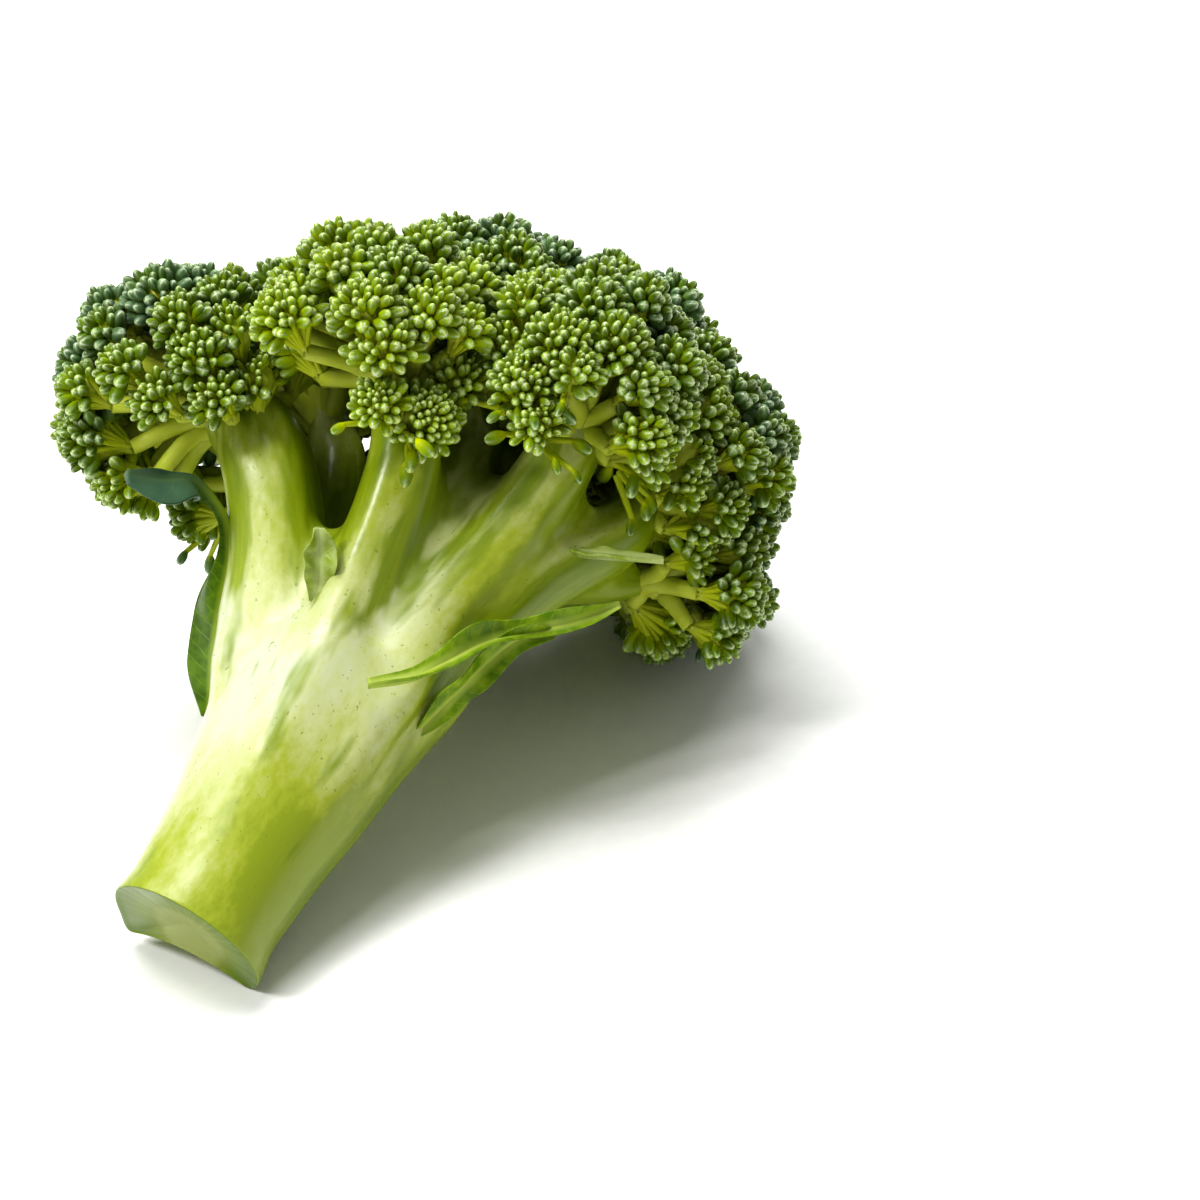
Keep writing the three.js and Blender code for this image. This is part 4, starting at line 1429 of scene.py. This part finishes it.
# %% Sizes of the leaves
# Each blade: points along its midrib, the way it faces at both ends, and half its width at even steps.
# Then how far it folds up, how high its edge waves, how far it leans aside, and the bloom on its tip.
LEAVES = {
    "leaf_left": [
        {
            "midrib": [
                (-15, 1, 46), (-20, -0.5, 58.5), (-23.3, -2, 70), (-25.5, -4, 78.5),
                (-30, -7, 85), (-37.5, -12, 86.5), (-43.5, -17.5, 81), (-50, -21, 77),
            ],
            "face": [(-0.5, -1, 0), (-0.2, -1, -0.4)],
            "half_widths": [1.2, 3.4, 3.4, 2.0, 1.3, 1.2, 3.2, 4.2, 1.6],
            "fold": 0.35, "wave": 0.9, "lean": 0.55, "bloom": 0.8,
        },
    ],
    "leaf_right": [
        {
            "midrib": [
                (11.8, -24, 54.1), (19.3, -25, 59), (24.1, -24.5, 65.4), (28.4, -23.5, 72.3),
                (33.2, -22, 78), (39.2, -21.5, 83.1), (44.9, -22, 87.9), (51, -24, 93.8),
            ],
            "face": [(-0.3, -1, 0.5), (0.5, -1, -0.1)],
            "half_widths": [0.6, 1.4, 1.9, 2.5, 2.6, 2.2, 2.4, 2.1, 0.7],
            "fold": 0.9, "wave": 1.5, "lean": 0.15, "bloom": 0,
        },
        {
            "midrib": [
                (24, -8, 57), (27.5, -13, 64.6), (30.8, -18, 71.3), (35, -21, 78.5), (41, -20.5, 83.5),
            ],
            "face": [(0.7, -1, -0.2), (0.5, -1, -0.3)],
            "half_widths": [1.0, 2.8, 3.2, 3.0, 2.6, 1.0],
            "fold": 0.7, "wave": 1.2, "lean": 0.1, "bloom": 0,
        },
    ],
    "bract_right": [
        {
            "midrib": [(36.5, -17, 104.4), (41.9, -22.5, 102.9), (48.6, -26, 103.6), (55.5, -27, 105.8)],
            "face": [(0, -1, 0.4), (0, -1, 0.6)],
            "half_widths": [1.4, 1.9, 1.4, 0.6],
            "fold": 0.4, "wave": 0.5, "lean": 0, "bloom": 0,
        },
    ],
    "bract_fork": [
        {
            "midrib": [(-5, -16, 71), (-6.5, -19.5, 74.5), (-8.5, -22.5, 78), (-10.5, -25.5, 81)],
            "face": [(-0.2, -1, 0), (-0.2, -1, 0.4)],
            "half_widths": [1.4, 3, 3.4, 1],
            "fold": 0.6, "wave": 1.7, "lean": 0, "bloom": 0,
        },
    ],
}
print("leaves:", ", ".join(LEAVES))

# %% Build a leaf blade
RIPPLES, WAVE_HALF_WIDTH = 2.2, 4
FRILLS, FRILL_HEIGHT, FRILL_POWER, FRILL_TWIST = 4, 0.25, 3, 3
LEAN_SHARPNESS = 4
LEAST_HALF_WIDTH = 0.6
LEAF_THICK, EDGE_THICK = 1.1, 0.5
RIB_WIDE, RIB_RISE = 1.3, 0.5
LEAF_STEPS, LEAF_ACROSS = 90, 25
BLOOM_STARTS, BLOOM_FULL = 0.6, 0.78


def blade_mesh(blade):
    """Points and triangles of one blade, with each point's millimetres across and along it and its bloom."""
    shares = np.linspace(0, 1, LEAF_STEPS)
    places = np.linspace(-1, 1, LEAF_ACROSS)
    middles, tangents = path_points(blade["midrib"], shares), path_tangents(blade["midrib"], shares)
    start, end = np.array(blade["face"], float)
    sideways = unit(np.cross(tangents, start + (end - start) * shares[:, None]))
    face = np.cross(sideways, tangents)
    stops = np.linspace(0, 1, len(blade["half_widths"]))
    half = path_points(np.stack([stops, blade["half_widths"], 0 * stops], -1), shares)[:, 1:2]
    half = np.maximum(half, LEAST_HALF_WIDTH) * (1 - blade["lean"] * np.tanh(LEAN_SHARPNESS * places))
    ripple = blade["wave"] * places * np.sin(shares[:, None] * RIPPLES * 2 * np.pi + places)
    frill = np.sin(shares[:, None] * FRILLS * 2 * np.pi + FRILL_TWIST * places)
    frill = FRILL_HEIGHT * np.abs(places) ** FRILL_POWER * frill
    lift = blade["fold"] * np.abs(places) * half + (ripple + frill) * half / WAVE_HALF_WIDTH
    sheet = middles[:, None] + sideways[:, None] * (places * half)[..., None]
    sheet = sheet + face[:, None] * lift[..., None]
    rib = RIB_RISE * np.exp(-((places * half / RIB_WIDE) ** 2))
    thick = EDGE_THICK + (LEAF_THICK - EDGE_THICK) * (1 - np.abs(places)) + 0 * half
    above = sheet + face[:, None] * (thick / 2)[..., None]
    below = sheet - face[:, None] * (thick / 2 + rib)[..., None]
    points, triangles = closed_tube(np.concatenate([above, below[:, ::-1]], 1))
    steps = np.linalg.norm(np.diff(middles, axis=0), axis=1)
    lengths = np.concatenate([[0], np.cumsum(steps)])
    across = np.concatenate([places * half, (places * half)[:, ::-1]], 1)
    bloom = blade["bloom"] * smooth_step(BLOOM_STARTS, BLOOM_FULL, shares)
    values = {
        "across": np.append(across.ravel(), [0, 0]),
        "along": np.append(np.repeat(lengths, 2 * LEAF_ACROSS), [0, lengths[-1]]),
        "bloom": np.append(np.repeat(bloom, 2 * LEAF_ACROSS), [0, bloom[-1]]),
    }
    return points, triangles, values


sample = blade_mesh(LEAVES["bract_fork"][0])
print("one blade:", len(sample[1]), "triangles")

# %% [markdown]
# ## Leaf skin
# The left leaf is dark green, the younger right one is yellow-green, and the small bracts higher up are
# thinner and paler. All have a broad pale midrib and faint side veins that slant away from it. A flat green
# with a noise would look like paper. So the veins are drawn from each point's place across and along its
# blade, as a wave that slants outward and wanders a little. One function makes all three skins from their
# own colours.

# %% Veins of a leaf
VEIN_SPACING_MM, VEIN_SLANT, VEIN_WANDER_MM = 3.2, -0.9, 2.2
SIDE_VEIN_SHARE, MIDRIB_SHARE = 0.3, 0.7


def leaf_veins(tree, mottle):
    """How much of a vein each place is, from 0 on the blade to its most on the midrib."""
    across = add_node(tree, "ShaderNodeAttribute", {"attribute_name": "across"})
    along = add_node(tree, "ShaderNodeAttribute", {"attribute_name": "along"})
    side = add_node(tree, "ShaderNodeMath", {"operation": "ABSOLUTE"}, {0: across.outputs["Fac"]})
    sweep = add_node(
        tree, "ShaderNodeMath", {"operation": "MULTIPLY_ADD", 1: VEIN_SLANT},
        {0: side.outputs["Value"], 2: along.outputs["Fac"]},
    )
    wander = add_node(
        tree, "ShaderNodeMath", {"operation": "MULTIPLY_ADD", 1: VEIN_WANDER_MM},
        {0: mottle, 2: sweep.outputs["Value"]},
    )
    turns = add_node(
        tree, "ShaderNodeMath", {"operation": "MULTIPLY", 1: math.pi / VEIN_SPACING_MM},
        {0: wander.outputs["Value"]},
    )
    wave = add_node(tree, "ShaderNodeMath", {"operation": "SINE"}, {0: turns.outputs["Value"]})
    height = add_node(tree, "ShaderNodeMath", {"operation": "ABSOLUTE"}, {0: wave.outputs["Value"]})
    side_vein = add_node(
        tree, "ShaderNodeMapRange",
        {"From Min": 0.2, "From Max": 0.0, "To Min": 0.0, "To Max": SIDE_VEIN_SHARE},
        {"Value": height.outputs["Value"]},
    )
    midrib = add_node(
        tree, "ShaderNodeMapRange",
        {"From Min": RIB_WIDE, "From Max": 0.3 * RIB_WIDE, "To Min": 0.0, "To Max": MIDRIB_SHARE},
        {"Value": side.outputs["Value"]},
    )
    veins = add_node(
        tree, "ShaderNodeMath", {"operation": "MAXIMUM"},
        {0: side_vein.outputs["Result"], 1: midrib.outputs["Result"]},
    )
    return veins.outputs["Value"]


print("side veins are", VEIN_SPACING_MM, "mm apart")

# %% Material of the leaves
LEAF_MOTTLE_MM = 3
BLOOM_COLOUR = "#3f5c50"


def leaf_skin(name, dark, light, vein):
    """Waxed leaf: mottled green, pale raised veins, a soft sheen, and a dull blue-green bloom at a tip."""
    material, tree = new_material(name)
    bloom = add_node(tree, "ShaderNodeAttribute", {"attribute_name": "bloom"})
    place = add_node(tree, "ShaderNodeTexCoord")
    mottle = add_node(
        tree, "ShaderNodeTexNoise", {"Scale": 1 / (LEAF_MOTTLE_MM * MM), "Detail": 4.0},
        {"Vector": place.outputs["Object"]},
    )
    veins = leaf_veins(tree, mottle.outputs["Fac"])
    blade_stops = [(0.35, colour(dark)), (0.7, colour(light))]
    blade = add_node(tree, "ShaderNodeValToRGB", {"stops": blade_stops}, {"Fac": mottle.outputs["Fac"]})
    veined = add_node(
        tree, "ShaderNodeMix", {"data_type": "RGBA", 7: colour(vein)}, {0: veins, 6: blade.outputs["Color"]}
    )
    base = add_node(
        tree, "ShaderNodeMix", {"data_type": "RGBA", 7: colour(BLOOM_COLOUR)},
        {0: bloom.outputs["Fac"], 6: veined.outputs[2]},
    )
    bump = add_node(tree, "ShaderNodeBump", {"Strength": 0.3, "Distance": 0.3 * MM}, {"Height": veins})
    gloss = add_node(
        tree, "ShaderNodeMapRange", {"To Min": 0.26, "To Max": 0.46}, {"Value": mottle.outputs["Fac"]}
    )
    shader = add_node(
        tree, "ShaderNodeBsdfPrincipled",
        {
            "IOR": 1.45, "Specular IOR Level": 0.2, "Subsurface Weight": 0.1,
            "Subsurface Radius": (0.6, 1.0, 0.2), "Subsurface Scale": 0.8 * MM,
            "Coat Weight": 0.06, "Coat Roughness": 0.16,
        },
        {
            "Base Color": base.outputs[2], "Roughness": gloss.outputs["Result"],
            "Normal": bump.outputs["Normal"],
        },
    )
    add_node(tree, "ShaderNodeOutputMaterial", links={"Surface": shader.outputs["BSDF"]})
    return material


LEAF_SKINS = {
    "leaf_left": leaf_skin("waxy_leaf_blade", "#3c5a02", "#5c7a06", "#8a9d24"),
    "leaf_right": leaf_skin("young_leaf_blade", "#5c7d08", "#8aa41c", "#b3c25a"),
}
BRACT_SKIN = leaf_skin("thin_bract_blade", "#869a30", "#aebb72", "#bcc886")
print("materials:", ", ".join(skin.name for skin in LEAF_SKINS.values()), "and", BRACT_SKIN.name)

# %% [markdown]
# ## Putting the leaves together
# A leaf may have more than one blade, and its blades are joined into one piece, because on the plant they
# are one leaf. Leaves and bracts take different materials.

# %% Build every leaf
for node, blades in LEAVES.items():
    meshes = [blade_mesh(blade) for blade in blades]
    points, triangles = join_meshes([mesh[:2] for mesh in meshes])
    values = {name: np.concatenate([mesh[2][name] for mesh in meshes]) for name in meshes[0][2]}
    piece = make_piece(node + "_blade", points, triangles, [LEAF_SKINS.get(node, BRACT_SKIN)], values)
    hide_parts(node)
    print(f"{piece.name}: {len(triangles)} triangles")
